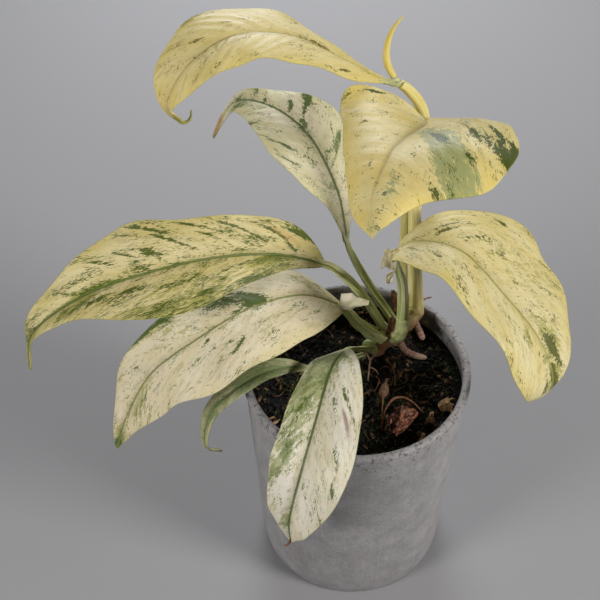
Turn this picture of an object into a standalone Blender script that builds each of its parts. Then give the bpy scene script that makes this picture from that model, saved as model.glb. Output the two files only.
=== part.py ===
# Potted rhaphidophora: a variegated climbing aroid with eight leaves in a tapered grey nursery pot.
# Metres, +Z up. The origin is the middle of the pot's underside, and the photo's camera looks along +Y.
import math
import random

import bmesh
import bpy
import numpy as np
from mathutils import Matrix

MM = 0.001
GAP = 0.0003

# Pot, in millimetres
POT_HEIGHT = 145.0
RIM_RADIUS = 60.0
RIM_INNER_RADIUS = 55.6
RIM_TALL = 4.6
WALL_TOP_RADIUS = 58.4
BASE_RADIUS = 52.0
WALL = 1.3
FLOOR = 2.6
POT_SIDES = 56
DRAIN_COUNT = 6
DRAIN_RADIUS = 4.0
DRAIN_RING = 37.0

# Soil, in millimetres
SOIL_TOP = 131.0
SOIL_BUMP = 0.9
SOIL_RINGS = 13
SOIL_SIDES = 48
STEM_HOLE = (12.1, 21.7)
STEM_HOLE_RADIUS = 5.2
STEM_HOLE_DEPTH = 13.4

# Stem, in millimetres: (x, y, z, radius) from the buried foot to the top sheath
STEM_PATH = (
    (12.0, 21.6, 118.0, 4.5),
    (12.2, 21.8, 131.5, 4.6),
    (15.0, 21.8, 138.5, 4.6),
    (20.8, 22.6, 142.6, 4.5),
    (27.1, 26.2, 147.4, 4.4),
    (32.4, 31.4, 151.6, 4.4),
    (33.4, 34.8, 159.0, 3.8),
    (31.2, 38.0, 184.7, 3.4),
    (29.0, 40.2, 222.0, 3.3),
    (29.4, 43.2, 250.0, 3.2),
    (30.4, 46.3, 269.0, 3.1),
    (27.6, 46.0, 280.0, 2.8),
    (22.0, 45.0, 288.5, 2.5),
    (18.2, 44.0, 292.4, 2.2),
)
ROOT_RADIUS = 1.8
ROOT_FRONT = ((23.4, 21.8, 141.5), (27.4, 16.4, 137.6), (32.8, 14.4, 135.6), (39.0, 13.6, 134.4))
ROOT_BACK = ((31.6, 30.0, 149.0), (34.4, 25.0, 145.4), (37.2, 20.8, 141.0))
BUD_PLACE = (8.8, 19.6, 137.4)
BUD_SIZE = (4.0, 4.0, 5.2)

# New leaf: (x, y, z, radius) along the rolled spike
SPIKE_PATH = (
    (15.0, 46.0, 295.2, 1.6),
    (12.0, 46.2, 302.0, 1.75),
    (11.2, 45.0, 311.0, 1.5),
    (13.0, 44.0, 321.0, 1.0),
    (17.0, 43.0, 328.6, 0.45),
)

# Leaf blades, in millimetres and degrees. A blade's midrib is given as the reach along its heading,
# the drift to its left and the height, all from its base. Half-widths stand at eighths of the length.
BLADE_THICK = 0.8
RIB_BASE = 1.5
RIB_TIP = 0.45
ACROSS = (-1.0, -0.68, -0.34, -0.07, 0.07, 0.34, 0.68, 1.0)
STEPS_PER_SPAN = 3
LEAVES = {
    "leaf_a": dict(
        petiole=((17.5, 43.6, 293.3),), sheath=(2.4, 2.1),
        base=(12, 42, 296), heading=184,
        reach=(0, 21, 43, 68, 89, 100, 95), side=(0, -1, -3, -2, 4, 6, -2),
        height=(0, 13, 25, 27, 17, -2, -19),
        left=(2, 11, 17, 19, 19, 17, 10, 3, 0.7), right=(2, 6, 14, 19, 22, 23, 15, 6, 0.7),
        roll=(3, -2, -50), fold=(8, 20), curl_left=(37, 37), curl_right=(35, 23), waves=(5, 1.0),
    ),
    "leaf_b": dict(
        petiole=((25.4, 45.0, 271.6),), sheath=(1.2, 2.0),
        base=(26, 42, 274), heading=-105,
        reach=(0, 18, 39, 62, 85, 107), side=(0, 8, 7, 0, -3, 1), height=(0, 13, 25, 30, 26, 24),
        left=(2, 20, 33, 42, 51, 48, 38, 16, 0.7), right=(2, 22, 39, 38, 32, 23, 16, 10, 0.7),
        roll=(-17, 8, 30), fold=(40, 0), curl_left=(30, 55), curl_right=(29, 60), waves=(4, 1.0),
    ),
    "leaf_c": dict(
        petiole=((25.2, 19.6, 151.7), (25.6, 24.4, 163.8), (23.9, 26.4, 180.0)), sheath=(3.8, 3.2),
        base=(20, 26, 198), heading=-40,
        reach=(0, 12, 37, 63, 85, 96, 86), side=(0, -3, -1, -2, -1, -1, 1),
        height=(0, 22, 29, 17, -1, -25, -49),
        left=(2, 10, 21, 36, 40, 35, 24, 8, 0.7), right=(2, 14, 21, 24, 25, 25, 24, 13, 0.7),
        roll=(24, -9, 13), fold=(25, 6), curl_left=(22, 34), curl_right=(27, 37), waves=(5, 1.2),
    ),
    "leaf_d": dict(
        petiole=((21.2, 28.4, 147.5), (8.4, 44.6, 159.4), (0.2, 54.8, 170.0)), sheath=(2.8, 2.2),
        base=(-3, 62, 176), heading=150,
        reach=(0, 8, 17, 27, 48, 70, 82), side=(0, -5, -3, 1, -1, -3, 2),
        height=(0, 24, 49, 68, 73, 65, 41),
        left=(2, 9, 17, 22, 24, 18, 10, 5, 0.7), right=(2, 12, 17, 23, 21, 13, 7, 5, 0.7),
        roll=(5, -9, -37), fold=(17, 14), curl_left=(31, 38), curl_right=(29, 27), waves=(5, 1.0),
    ),
    "leaf_e": dict(
        petiole=((15.8, 24.8, 145.2), (3.8, 30.0, 166.4), (-7.0, 31.4, 181.0)), sheath=(3.6, 2.4),
        base=(-17, 34, 187), heading=196,
        reach=(0, 28, 60, 92, 123, 150, 157), side=(0, 1, 1, 0, -1, 2, -1),
        height=(0, 16, 22, 20, 13, -2, -31),
        left=(2, 8, 16, 24, 25, 18, 8, 3, 0.7), right=(2, 17, 21, 22, 26, 19, 11, 4, 0.7),
        roll=(-61, -34, -9), fold=(29, 28), curl_left=(27, 24), curl_right=(18, 23), waves=(6, 1.2),
    ),
    "leaf_f": dict(
        petiole=((14.7, 18.0, 145.0), (8.0, 18.8, 151.0), (-0.6, 19.0, 159.0)), sheath=(4.2, 3.2),
        base=(-6, 22, 166), heading=199,
        reach=(0, 22, 51, 79, 104, 120, 130), side=(0, -1, 0, 1, 0, 1, 0),
        height=(0, 17, 19, 8, -9, -34, -63),
        left=(2, 20, 29, 33, 34, 27, 20, 9, 0.7), right=(2, 17, 20, 22, 26, 28, 23, 12, 0.7),
        roll=(-12, 2, -26), fold=(8, 14), curl_left=(34, 32), curl_right=(35, 30), waves=(5, 1.2),
    ),
    "leaf_g": dict(
        petiole=((5.0, 16.0, 134.6), (-8.0, 8.0, 138.0), (-19.0, 0.0, 145.0)), sheath=(1.8, 1.6),
        base=(-26, -5, 150), heading=196,
        reach=(0, 12, 27, 43, 54, 58, 49), side=(0, 3, 3, 3, 2, 6, 0),
        height=(0, 8, 7, -3, -19, -38, -54),
        left=(1.5, 3, 4, 5, 5, 4, 3, 2, 0.7), right=(1.5, 4, 6, 7, 6, 5, 3, 2, 0.7),
        roll=(-38, -24, -40), fold=(17, 17), curl_left=(29, 30), curl_right=(30, 29), waves=(4, 0.5),
    ),
    "leaf_h": dict(
        petiole=((8.6, 14.6, 141.0), (3.6, 12.0, 144.6),), sheath=(2.6, 2.0),
        base=(-5, 7, 150), heading=-108,
        reach=(0, 26, 55, 77, 87, 84), side=(0, -1, 0, -1, -4, -5), height=(0, 13, 9, -7, -33, -60),
        left=(2, 11, 19, 24, 26, 24, 17, 9, 0.7), right=(2, 10, 14, 16, 17, 17, 14, 9, 0.7),
        roll=(19, 11, 26), fold=(21, 20), curl_left=(26, 26), curl_right=(28, 29), waves=(5, 0.8),
    ),
}

# Litter on the soil, in millimetres
LITTER_SEED = 11
LITTER_COUNT = 26
DRY_SHEATH_PLACE = (24.6, 32.4, 150.6)
DRIED_LEAF_PLACE = (22.4, -28.5)
HUSK_PLACE = (14.6, -7.6)


def clear_scene():
    for obj in list(bpy.data.objects):
        bpy.data.objects.remove(obj, do_unlink=True)


def make_material(name, colour, roughness, metallic=0.0):
    material = bpy.data.materials.new(name)
    material.use_nodes = True
    shader = material.node_tree.nodes["Principled BSDF"]
    shader.inputs["Base Color"].default_value = (*colour, 1.0)
    shader.inputs["Roughness"].default_value = roughness
    shader.inputs["Metallic"].default_value = metallic
    material.diffuse_color = (*colour, 1.0)
    return material


def make_collection(name):
    collection = bpy.data.collections.new(name)
    bpy.context.scene.collection.children.link(collection)
    return collection


def add_object(name, data, collection, material=None):
    obj = bpy.data.objects.new(name, data)
    collection.objects.link(obj)
    if material is not None:
        obj.data.materials.append(material)
    return obj


def add_cutter(name, data, collection):
    cutter = add_object(name, data, collection)
    cutter.hide_render = True
    cutter.display_type = "WIRE"
    return cutter


def finished_mesh(name, bm):
    mesh = bpy.data.meshes.new(name)
    bm.to_mesh(mesh)
    bm.free()
    return mesh


def evaluated_mesh(obj):
    bpy.context.view_layer.update()
    graph = bpy.context.evaluated_depsgraph_get()
    return bpy.data.meshes.new_from_object(obj.evaluated_get(graph))


def turned_object(name, profile, sides, collection, material=None):
    """Turn a profile of (radius, height) in millimetres about Z with a Screw modifier."""
    mesh = bpy.data.meshes.new(name)
    points = [(r * MM, 0.0, z * MM) for r, z in profile]
    mesh.from_pydata(points, [(i, i + 1) for i in range(len(points) - 1)], [])
    obj = add_object(name, mesh, collection, material)
    screw = obj.modifiers.new("Turn", "SCREW")
    screw.steps = sides
    screw.render_steps = sides
    screw.use_merge_vertices = True
    screw.merge_threshold = 0.00001
    return obj


def smooth_points(values, per_span):
    """Catmull-Rom curve through rows of values, with per_span steps between two rows."""
    rows = np.asarray(values, dtype=float)
    rows = np.vstack([2 * rows[0] - rows[1], rows, 2 * rows[-1] - rows[-2]])
    result = []
    for i in range(1, len(rows) - 2):
        a, b, c, d = rows[i - 1:i + 3]
        for step in range(per_span):
            t = step / per_span
            bend = (2 * a - 5 * b + 4 * c - d) * t ** 2 + (3 * b - a - 3 * c + d) * t ** 3
            result.append(0.5 * (2 * b + (c - a) * t + bend))
    result.append(rows[-2])
    return np.array(result)


def sample(values, u):
    """Catmull-Rom value at u in 0..1 through equally spaced values."""
    rows = np.asarray(values, dtype=float)
    rows = np.concatenate([[2 * rows[0] - rows[1]], rows, [2 * rows[-1] - rows[-2]]])
    spans = len(rows) - 3
    i = min(int(u * spans), spans - 1)
    t = u * spans - i
    a, b, c, d = rows[i:i + 4]
    bend = (2 * a - 5 * b + 4 * c - d) * t ** 2 + (3 * b - a - 3 * c + d) * t ** 3
    return 0.5 * (2 * b + (c - a) * t + bend)


def tube_object(name, points, collection, sides_level=2):
    """A capped tube along points of (x, y, z, radius) in millimetres, as a welded mesh."""
    curve = bpy.data.curves.new(name, "CURVE")
    curve.dimensions = "3D"
    curve.bevel_depth = MM
    curve.bevel_resolution = sides_level
    curve.use_fill_caps = True
    spline = curve.splines.new("POLY")
    spline.points.add(len(points) - 1)
    for point, (x, y, z, radius) in zip(spline.points, points):
        point.co = (x * MM, y * MM, z * MM, 1.0)
        point.radius = radius
    guide = bpy.data.objects.new(name + "_curve", curve)
    collection.objects.link(guide)
    mesh = evaluated_mesh(guide)
    bpy.data.objects.remove(guide, do_unlink=True)
    bm = bmesh.new()
    bm.from_mesh(mesh)
    bmesh.ops.remove_doubles(bm, verts=bm.verts, dist=0.00001)
    bm.to_mesh(mesh)
    bm.free()
    return add_object(name, mesh, collection)


def join_by_union(obj, others, solver="EXACT"):
    """Union every object of others into obj, keep the result as its mesh and remove the others."""
    group = make_collection(obj.name + "_repeats")
    for other in others:
        for owner in list(other.users_collection):
            owner.objects.unlink(other)
        group.objects.link(other)
    union = obj.modifiers.new("Join", "BOOLEAN")
    union.operation = "UNION"
    union.operand_type = "COLLECTION"
    union.collection = group
    union.solver = solver
    mesh = evaluated_mesh(obj)
    obj.modifiers.clear()
    obj.data = mesh
    for other in others:
        bpy.data.objects.remove(other, do_unlink=True)
    bpy.data.collections.remove(group)


def soil_height(x, y):
    """Height of the rough soil at a place, in millimetres: a few crossed waves on the level."""
    wave = math.sin(0.17 * x + 0.4) * math.cos(0.15 * y - 0.8)
    wave += 0.6 * math.sin(0.24 * x - 0.18 * y + 1.1)
    wave += 0.5 * math.cos(0.20 * x + 0.25 * y)
    return SOIL_TOP + SOIL_BUMP * wave


def pot_profile():
    groove = WALL_TOP_RADIUS - 0.5
    rim_foot = POT_HEIGHT - RIM_TALL
    inner_top = WALL_TOP_RADIUS - WALL
    return (
        (0.0, FLOOR), (BASE_RADIUS - 3.0, FLOOR), (BASE_RADIUS - WALL, FLOOR + 2.0),
        (inner_top, rim_foot - 2.0), (RIM_INNER_RADIUS + 0.3, rim_foot), (RIM_INNER_RADIUS, rim_foot + 1.4),
        (RIM_INNER_RADIUS + 0.4, rim_foot + 3.6), (RIM_INNER_RADIUS + 1.8, POT_HEIGHT),
        (RIM_RADIUS - 1.4, POT_HEIGHT - 0.1), (RIM_RADIUS - 0.2, POT_HEIGHT - 1.4),
        (RIM_RADIUS, POT_HEIGHT - 2.9), (RIM_RADIUS - 0.6, rim_foot + 0.2), (groove, rim_foot - 0.4),
        (groove, rim_foot - 1.6), (WALL_TOP_RADIUS, rim_foot - 2.6), (BASE_RADIUS + 1.0, 9.0),
        (BASE_RADIUS, 2.0), (BASE_RADIUS - 2.0, 0.0), (0.0, 0.0),
    )


def cylinder_mesh(name, centre, radius, depth, sides):
    """An upright closed cylinder about a centre in millimetres."""
    bm = bmesh.new()
    place = Matrix.Translation([c * MM for c in centre])
    bmesh.ops.create_cone(
        bm, cap_ends=True, segments=sides, radius1=radius * MM, radius2=radius * MM, depth=depth * MM, matrix=place)
    return finished_mesh(name, bm)


def make_pot(parts, cutters):
    grey = make_material("grey plastic", (0.30, 0.30, 0.33), 0.6)
    pot = turned_object("pot", pot_profile(), POT_SIDES, parts, grey)
    for i in range(DRAIN_COUNT):
        turn = 2 * math.pi * (i + 0.5) / DRAIN_COUNT
        centre = (DRAIN_RING * math.cos(turn), DRAIN_RING * math.sin(turn), 0.0)
        add_cutter(f"drain_{i + 1}", cylinder_mesh("drain", centre, DRAIN_RADIUS, 4 * FLOOR, 12), cutters)
    cut = pot.modifiers.new("Drain holes", "BOOLEAN")
    cut.operation = "DIFFERENCE"
    cut.operand_type = "COLLECTION"
    cut.collection = cutters
    return pot


def soil_profile():
    """Rings on the top, then the side down to the floor, 0.3 mm inside the pot's wall."""
    side = GAP / MM
    slope = (WALL_TOP_RADIUS - BASE_RADIUS - 1.0) / (POT_HEIGHT - RIM_TALL - 11.6)
    top = BASE_RADIUS + 1.0 + slope * (SOIL_TOP - 9.0) - WALL - side - 0.5
    rings = [(top * (i / SOIL_RINGS) ** 0.85, SOIL_TOP) for i in range(SOIL_RINGS + 1)]
    foot = BASE_RADIUS - WALL - side - 0.5
    return rings + [(foot, FLOOR + 2.6), (BASE_RADIUS - 3.4, FLOOR + side), (0.0, FLOOR + side)], top


def roughen_soil(mesh, top_radius):
    """Lift the soil's top by its height formula, flat at the wall so that the gap there stays even."""
    for vertex in mesh.vertices:
        x, y, z = (c / MM for c in vertex.co)
        if z > SOIL_TOP - 0.5:
            calm = min(1.0, max(0.0, (top_radius - math.hypot(x, y)) / 4.0))
            vertex.co.z = MM * (SOIL_TOP + calm * (soil_height(x, y) - SOIL_TOP))


def litter_places(rng):
    """Seeded places for bark bits and grit, clear of the crown and of what lies on the soil."""
    keep_clear = [(17, 22, 17), (32, 16, 11), (22.4, -28.5, 14), (14.6, -7.6, 8), (-10, 8, 9)]
    places = []
    while len(places) < LITTER_COUNT:
        turn = rng.uniform(0, 2 * math.pi)
        reach = 50.0 * math.sqrt(rng.random())
        x = reach * math.cos(turn)
        y = reach * math.sin(turn)
        if all(math.hypot(x - cx, y - cy) > cr for cx, cy, cr in keep_clear):
            if all(math.hypot(x - px, y - py) > 6.5 for px, py in places):
                places.append((x, y))
    return places


def make_litter(parts):
    """Rough chips, sunk half into the soil that they lie in."""
    rng = random.Random(LITTER_SEED)
    chips = []
    for i, (x, y) in enumerate(litter_places(rng)):
        bm = bmesh.new()
        bmesh.ops.create_icosphere(bm, subdivisions=1, radius=1.0)
        size = (rng.uniform(1.6, 3.4), rng.uniform(1.2, 2.0), rng.uniform(0.9, 1.7))
        for vertex in bm.verts:
            vertex.co *= rng.uniform(0.82, 1.12)
        turn = Matrix.Rotation(rng.uniform(0, math.pi), 4, "Z") @ Matrix.Rotation(rng.uniform(-0.4, 0.4), 4, "X")
        place = Matrix.Translation((x * MM, y * MM, (soil_height(x, y) + 0.05 * size[2]) * MM))
        bm.transform(place @ turn @ Matrix.Diagonal((size[0] * MM, size[1] * MM, size[2] * MM, 1.0)))
        name = f"chip_{i + 1}"
        chips.append(add_object(name, finished_mesh(name, bm), parts))
    return chips


def make_soil(parts, holes):
    profile, top_radius = soil_profile()
    guide = turned_object("soil_guide", profile, SOIL_SIDES, parts)
    mesh = evaluated_mesh(guide)
    bpy.data.objects.remove(guide, do_unlink=True)
    roughen_soil(mesh, top_radius)
    soil = add_object("soil", mesh, parts)
    join_by_union(soil, make_litter(parts))
    soil.data.materials.clear()
    soil.data.materials.append(make_material("potting soil", (0.035, 0.028, 0.02), 0.95))
    mesh = cylinder_mesh("stem_hole", (*STEM_HOLE, SOIL_TOP), STEM_HOLE_RADIUS, 2 * STEM_HOLE_DEPTH, 16)
    cut = soil.modifiers.new("Stem hole", "BOOLEAN")
    cut.operation = "DIFFERENCE"
    cut.object = add_cutter("stem_hole", mesh, holes)
    return soil


def make_stem(parts):
    """The creeping base and upright stem, with the two aerial roots and the bud grown on it."""
    stem = tube_object("stem", smooth_points(STEM_PATH, 3), parts)
    grown = []
    for name, path in (("root_front", ROOT_FRONT), ("root_back", ROOT_BACK)):
        radii = [ROOT_RADIUS] * (len(path) - 1) + [0.7 * ROOT_RADIUS]
        rows = [(x, y, z, radius) for (x, y, z), radius in zip(path, radii)]
        grown.append(tube_object(name, smooth_points(rows, 3), parts, 1))
    bm = bmesh.new()
    lean = Matrix.Translation([c * MM for c in BUD_PLACE]) @ Matrix.Rotation(math.radians(-50), 4, "Y")
    bmesh.ops.create_uvsphere(bm, u_segments=12, v_segments=8, radius=1.0)
    bm.transform(lean @ Matrix.Diagonal([c * MM for c in BUD_SIZE] + [1.0]))
    grown.append(add_object("bud", finished_mesh("bud", bm), parts))
    join_by_union(stem, grown)
    stem.data.materials.clear()
    stem.data.materials.append(make_material("green stem", (0.42, 0.44, 0.13), 0.45))
    return stem


def make_spike(parts):
    spike = tube_object("new_leaf", smooth_points(SPIKE_PATH, 4), parts)
    spike.data.materials.append(make_material("young leaf", (0.78, 0.68, 0.26), 0.4))
    return spike


def leaf_stations(spec):
    """Centre line, side direction and section values of a leaf, from the petiole's foot to the tip."""
    turn = math.radians(spec["heading"])
    ahead = np.array((math.cos(turn), math.sin(turn), 0.0))
    left = np.array((-math.sin(turn), math.cos(turn), 0.0))
    midrib = [np.array(spec["base"], dtype=float) + r * ahead + s * left + np.array((0.0, 0.0, h))
              for r, s, h in zip(spec["reach"], spec["side"], spec["height"])]
    path = [np.array(p) for p in spec["petiole"]] + midrib
    centres = smooth_points(path, STEPS_PER_SPAN)
    petiole_steps = STEPS_PER_SPAN * len(spec["petiole"])
    blade_steps = len(centres) - 1 - petiole_steps
    sections = []
    for k in range(len(centres)):
        if k < petiole_steps:
            q = k / petiole_steps
            half = spec["sheath"][0] + q * (spec["sheath"][1] - spec["sheath"][0])
            half += q ** 6 * (spec["left"][0] - half)
            sections.append(dict(
                left=half, right=half, roll=q * q * spec["roll"][0], fold=48 + q * (spec["fold"][0] - 48),
                curl_left=-20 + q * (spec["curl_left"][0] + 20), curl_right=-20 + q * (spec["curl_right"][0] + 20),
                rib=0.45 * half + 0.3, wave=0.0, u=0.0))
        else:
            u = (k - petiole_steps) / blade_steps
            values = {key: sample(spec[key], u) for key in ("left", "right", "roll", "fold", "curl_left", "curl_right")}
            values["rib"] = RIB_BASE + u * (RIB_TIP - RIB_BASE)
            values["wave"] = spec["waves"][1] * math.sqrt(math.sin(math.pi * u)) if 0 < u < 1 else 0.0
            values["u"] = u
            sections.append(values)
    return centres, left, sections


def section_points(centre, side, normal, values, waves):
    """Upper and under points across one section: each half is an arc that leaves the rib at the fold
    angle and bends down by the curl towards its margin, and the rib thickens the underside."""
    upper = []
    under = []
    for v in ACROSS:
        sign = 1.0 if v > 0 else -1.0
        half = max(0.5, values["left"] if v > 0 else values["right"])
        inner = min(0.3, 1.1 / half)
        s = inner if abs(v) < 0.1 else abs(v)
        calm = min(1.0, half / 6.0) if values["u"] > 0.5 else 1.0
        fold = math.radians(values["fold"]) * calm
        curl = math.radians(values["curl_left"] if v > 0 else values["curl_right"]) * calm
        curl = curl if abs(curl) > 0.001 else 0.001
        out = half * (math.sin(fold) - math.sin(fold - curl * s)) / curl
        lift = -half * (math.cos(fold) - math.cos(fold - curl * s)) / curl
        lift += values["wave"] * s ** 2 * math.sin(2 * math.pi * waves * values["u"] + (0.9 if v > 0 else 2.6))
        slope = fold - curl * s
        face = normal * math.cos(slope) - side * sign * math.sin(slope)
        point = centre + side * sign * out + normal * lift
        deep = BLADE_THICK + (values["rib"] if s == inner else 0.0)
        upper.append(point)
        under.append(point - face * deep)
    return upper, under


def leaf_faces(rings, columns):
    """Triangles of the closed leaf, split alike on both faces. Points run ring by ring, upper then under."""
    def at(k, j, layer):
        return k * 2 * columns + layer * columns + j

    faces = []
    for k in range(rings - 1):
        for j in range(columns - 1):
            a, b, c, d = at(k, j, 0), at(k + 1, j, 0), at(k + 1, j + 1, 0), at(k, j + 1, 0)
            faces += [(a, b, c), (a, c, d)]
            a, b, c, d = (n + columns for n in (a, b, c, d))
            faces += [(a, c, b), (a, d, c)]
        faces.append((at(k, 0, 0), at(k, 0, 1), at(k + 1, 0, 1), at(k + 1, 0, 0)))
        edge = columns - 1
        faces.append((at(k, edge, 0), at(k + 1, edge, 0), at(k + 1, edge, 1), at(k, edge, 1)))
    for j in range(columns - 1):
        faces.append((at(0, j, 0), at(0, j + 1, 0), at(0, j + 1, 1), at(0, j, 1)))
        end = rings - 1
        faces.append((at(end, j, 0), at(end, j, 1), at(end, j + 1, 1), at(end, j + 1, 0)))
    return faces


def make_leaf(name, spec, parts, material):
    centres, left, sections = leaf_stations(spec)
    tangents = np.gradient(centres, axis=0)
    points = []
    for centre, tangent, values in zip(centres, tangents, sections):
        tangent = tangent / np.linalg.norm(tangent)
        side = left - (tangent @ left) * tangent
        side = side / np.linalg.norm(side)
        normal = np.cross(tangent, side)
        roll = math.radians(values["roll"])
        rolled_side = side * math.cos(roll) + normal * math.sin(roll)
        rolled_normal = normal * math.cos(roll) - side * math.sin(roll)
        upper, under = section_points(centre, rolled_side, rolled_normal, values, spec["waves"][0])
        points += upper + under
    mesh = bpy.data.meshes.new(name)
    mesh.from_pydata([tuple(p * MM) for p in points], [], leaf_faces(len(centres), len(ACROSS)))
    mesh.shade_smooth()
    mesh.set_sharp_from_angle(angle=math.radians(50))
    return add_object(name, mesh, parts, material)


def sheet_object(name, rows, thickness, parts, material):
    """An open surface through rows of points in millimetres, made a shell with Solidify."""
    mesh = bpy.data.meshes.new(name)
    across = len(rows[0])
    faces = []
    for i in range(len(rows) - 1):
        for j in range(across - 1):
            a = i * across + j
            faces += [(a, a + 1, a + across + 1), (a, a + across + 1, a + across)]
    mesh.from_pydata([tuple(c * MM for c in p) for row in rows for p in row], [], faces)
    obj = add_object(name, mesh, parts, material)
    shell = obj.modifiers.new("Thickness", "SOLIDIFY")
    shell.thickness = thickness * MM
    shell.offset = 0.0
    return obj


def make_dried_leaf(parts):
    """A small leaf that has dried into a loose roll with a pointed end, resting on the soil."""
    cx, cy = DRIED_LEAF_PLACE
    rows = []
    for i in range(9):
        along = i / 8
        radius = 1.8 + 4.2 * math.sin(math.pi * (0.12 + 0.8 * along))
        row = []
        for j in range(9):
            turn = math.radians(-35 + 235 * j / 8 + 25 * along)
            x = cx - 10.5 + 21 * along
            y = cy + radius * math.cos(turn) + 1.6 * math.sin(3.1 * along)
            z = radius * (1 + math.sin(turn)) + 0.5 * math.sin(9 * along + j)
            row.append((x, y, z))
        rows.append(row)
    lift = max(soil_height(x, y) - z for row in rows for x, y, z in row) + 0.6
    rows = [[(x, y, z + lift) for x, y, z in row] for row in rows]
    return sheet_object("dried_leaf", rows, 0.8, parts, make_material("dried leaf", (0.16, 0.07, 0.04), 0.7))


def make_husk(parts):
    """A seed-like husk with a short stalk, lying on the soil."""
    x, y = HUSK_PLACE
    shape = ((-5.0, 0.7), (-3.6, 1.8), (-1.2, 2.4), (1.2, 2.3), (3.2, 1.5), (4.6, 0.7), (7.4, 0.6))
    rest = max(soil_height(x + 0.25 * t, y + t) + radius for t, radius in shape) + 0.5
    rows = [(x + 0.25 * t, y + t, rest, radius) for t, radius in shape]
    husk = tube_object("husk", rows, parts)
    husk.data.materials.append(make_material("husk", (0.22, 0.13, 0.07), 0.6))
    return husk


def make_dry_sheath(parts):
    """The brown papery remains of an old leaf sheath, standing behind the crown."""
    x0, y0, z0 = DRY_SHEATH_PLACE
    rows = []
    for i in range(7):
        t = i / 6
        half = 2.7 * math.sqrt(1.15 - t)
        row = []
        for j in range(5):
            v = -1 + j / 2
            row.append((x0 - 4.0 * t + half * v, y0 + 4.0 * t + 0.3 * half * v * v, z0 + 13 * t))
        rows.append(row)
    return sheet_object("dry_sheath", rows, 0.7, parts, make_material("dry sheath", (0.25, 0.14, 0.08), 0.7))


def main():
    clear_scene()
    parts = make_collection("potted_rhaphidophora")
    drains = make_collection("drain_cutters")
    holes = make_collection("soil_cutters")
    make_pot(parts, drains)
    make_soil(parts, holes)
    make_stem(parts)
    make_spike(parts)
    for name, spec in LEAVES.items():
        make_leaf(name, spec, parts, make_material(name + " blade", (0.66, 0.62, 0.36), 0.4))
    make_dried_leaf(parts)
    make_husk(parts)
    make_dry_sheath(parts)


main()
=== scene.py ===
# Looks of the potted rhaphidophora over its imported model. Each leaf, stalk, root, chip and tuft is a surface
# worked out with numpy, and each material is procedural. Lengths are millimetres until a mesh is put down.
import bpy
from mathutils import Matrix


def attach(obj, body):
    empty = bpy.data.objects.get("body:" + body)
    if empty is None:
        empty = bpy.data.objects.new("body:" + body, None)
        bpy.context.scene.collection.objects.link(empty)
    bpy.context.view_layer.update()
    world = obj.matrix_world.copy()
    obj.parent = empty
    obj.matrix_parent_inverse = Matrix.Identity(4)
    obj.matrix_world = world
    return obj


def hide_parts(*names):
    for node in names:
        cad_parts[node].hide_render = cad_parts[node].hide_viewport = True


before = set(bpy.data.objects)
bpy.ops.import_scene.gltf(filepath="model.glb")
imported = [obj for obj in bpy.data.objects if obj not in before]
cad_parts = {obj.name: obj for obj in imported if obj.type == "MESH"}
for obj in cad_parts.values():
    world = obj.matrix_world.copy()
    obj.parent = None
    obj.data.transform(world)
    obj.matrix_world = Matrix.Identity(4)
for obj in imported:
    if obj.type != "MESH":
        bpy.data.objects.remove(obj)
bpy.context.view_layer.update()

import math

import bpy
import numpy as np
from mathutils import Matrix, Vector

mm = 0.001


def linear(hexColour, alpha=1.0):
    # sRGB hex to linear: c/12.92 below 0.04045, else ((c + 0.055)/1.055)^2.4
    parts = [int(hexColour[i:i + 2], 16) / 255 for i in (0, 2, 4)]
    return tuple(c / 12.92 if c <= 0.04045 else ((c + 0.055) / 1.055) ** 2.4 for c in parts) + (alpha,)


def addNode(tree, kind, inputs=None, **settings):
    # one shader node: settings are its properties, inputs its values or the sockets linked to it
    node = tree.nodes.new("ShaderNode" + kind)
    for key, value in settings.items():
        setattr(node, key, value)
    for key, value in (inputs or {}).items():
        if isinstance(value, bpy.types.NodeSocket):
            tree.links.new(value, node.inputs[key])
        else:
            node.inputs[key].default_value = value
    return next((socket for socket in node.outputs if socket.enabled), None)


def newMaterial(name, shown):
    # an empty node material; shown is its plain colour in a solid view
    material = bpy.data.materials.new(name)
    material.use_nodes = True
    material.node_tree.nodes.clear()
    material.diffuse_color = linear(shown)
    return material, material.node_tree


def curveAt(rows, t):
    # Catmull-Rom curve through equally spaced rows, at t from 0 to 1, with its ends mirrored
    rows = np.asarray(rows, dtype=float)
    padded = np.concatenate([[2 * rows[0] - rows[1]], rows, [2 * rows[-1] - rows[-2]]])
    place = np.clip(t, 0, 1) * (len(rows) - 1)
    i = np.minimum(place.astype(int), len(rows) - 2)
    f = place - i
    f = f[:, None] if rows.ndim == 2 else f
    a, b, c, d = (padded[i + k] for k in range(4))
    bend = (2 * a - 5 * b + 4 * c - d) * f ** 2 + (3 * b - a - 3 * c + d) * f ** 3
    return 0.5 * (2 * b + (c - a) * f + bend)


def softNoise(x, y, seed):
    # value noise from -1 to 1: random numbers on a unit lattice, blended by 3t^2 - 2t^3
    table = np.random.default_rng(seed).uniform(-1, 1, (64, 64))
    i, j = np.floor(x).astype(int), np.floor(y).astype(int)
    fx, fy = x - i, y - j
    fx, fy = fx * fx * (3 - 2 * fx), fy * fy * (3 - 2 * fy)
    low = table[i % 64, j % 64] * (1 - fx) + table[(i + 1) % 64, j % 64] * fx
    high = table[i % 64, (j + 1) % 64] * (1 - fx) + table[(i + 1) % 64, (j + 1) % 64] * fx
    return low * (1 - fy) + high * fy


def roughNoise(x, y, seed, octaves=4):
    # octaves of value noise, each twice as fine and half as strong
    return sum(softNoise(x * 2 ** k, y * 2 ** k, seed + k) / 2 ** k for k in range(octaves))


def unit(vectors):
    return vectors / np.maximum(np.linalg.norm(vectors, axis=-1, keepdims=True), 1e-9)


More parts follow.
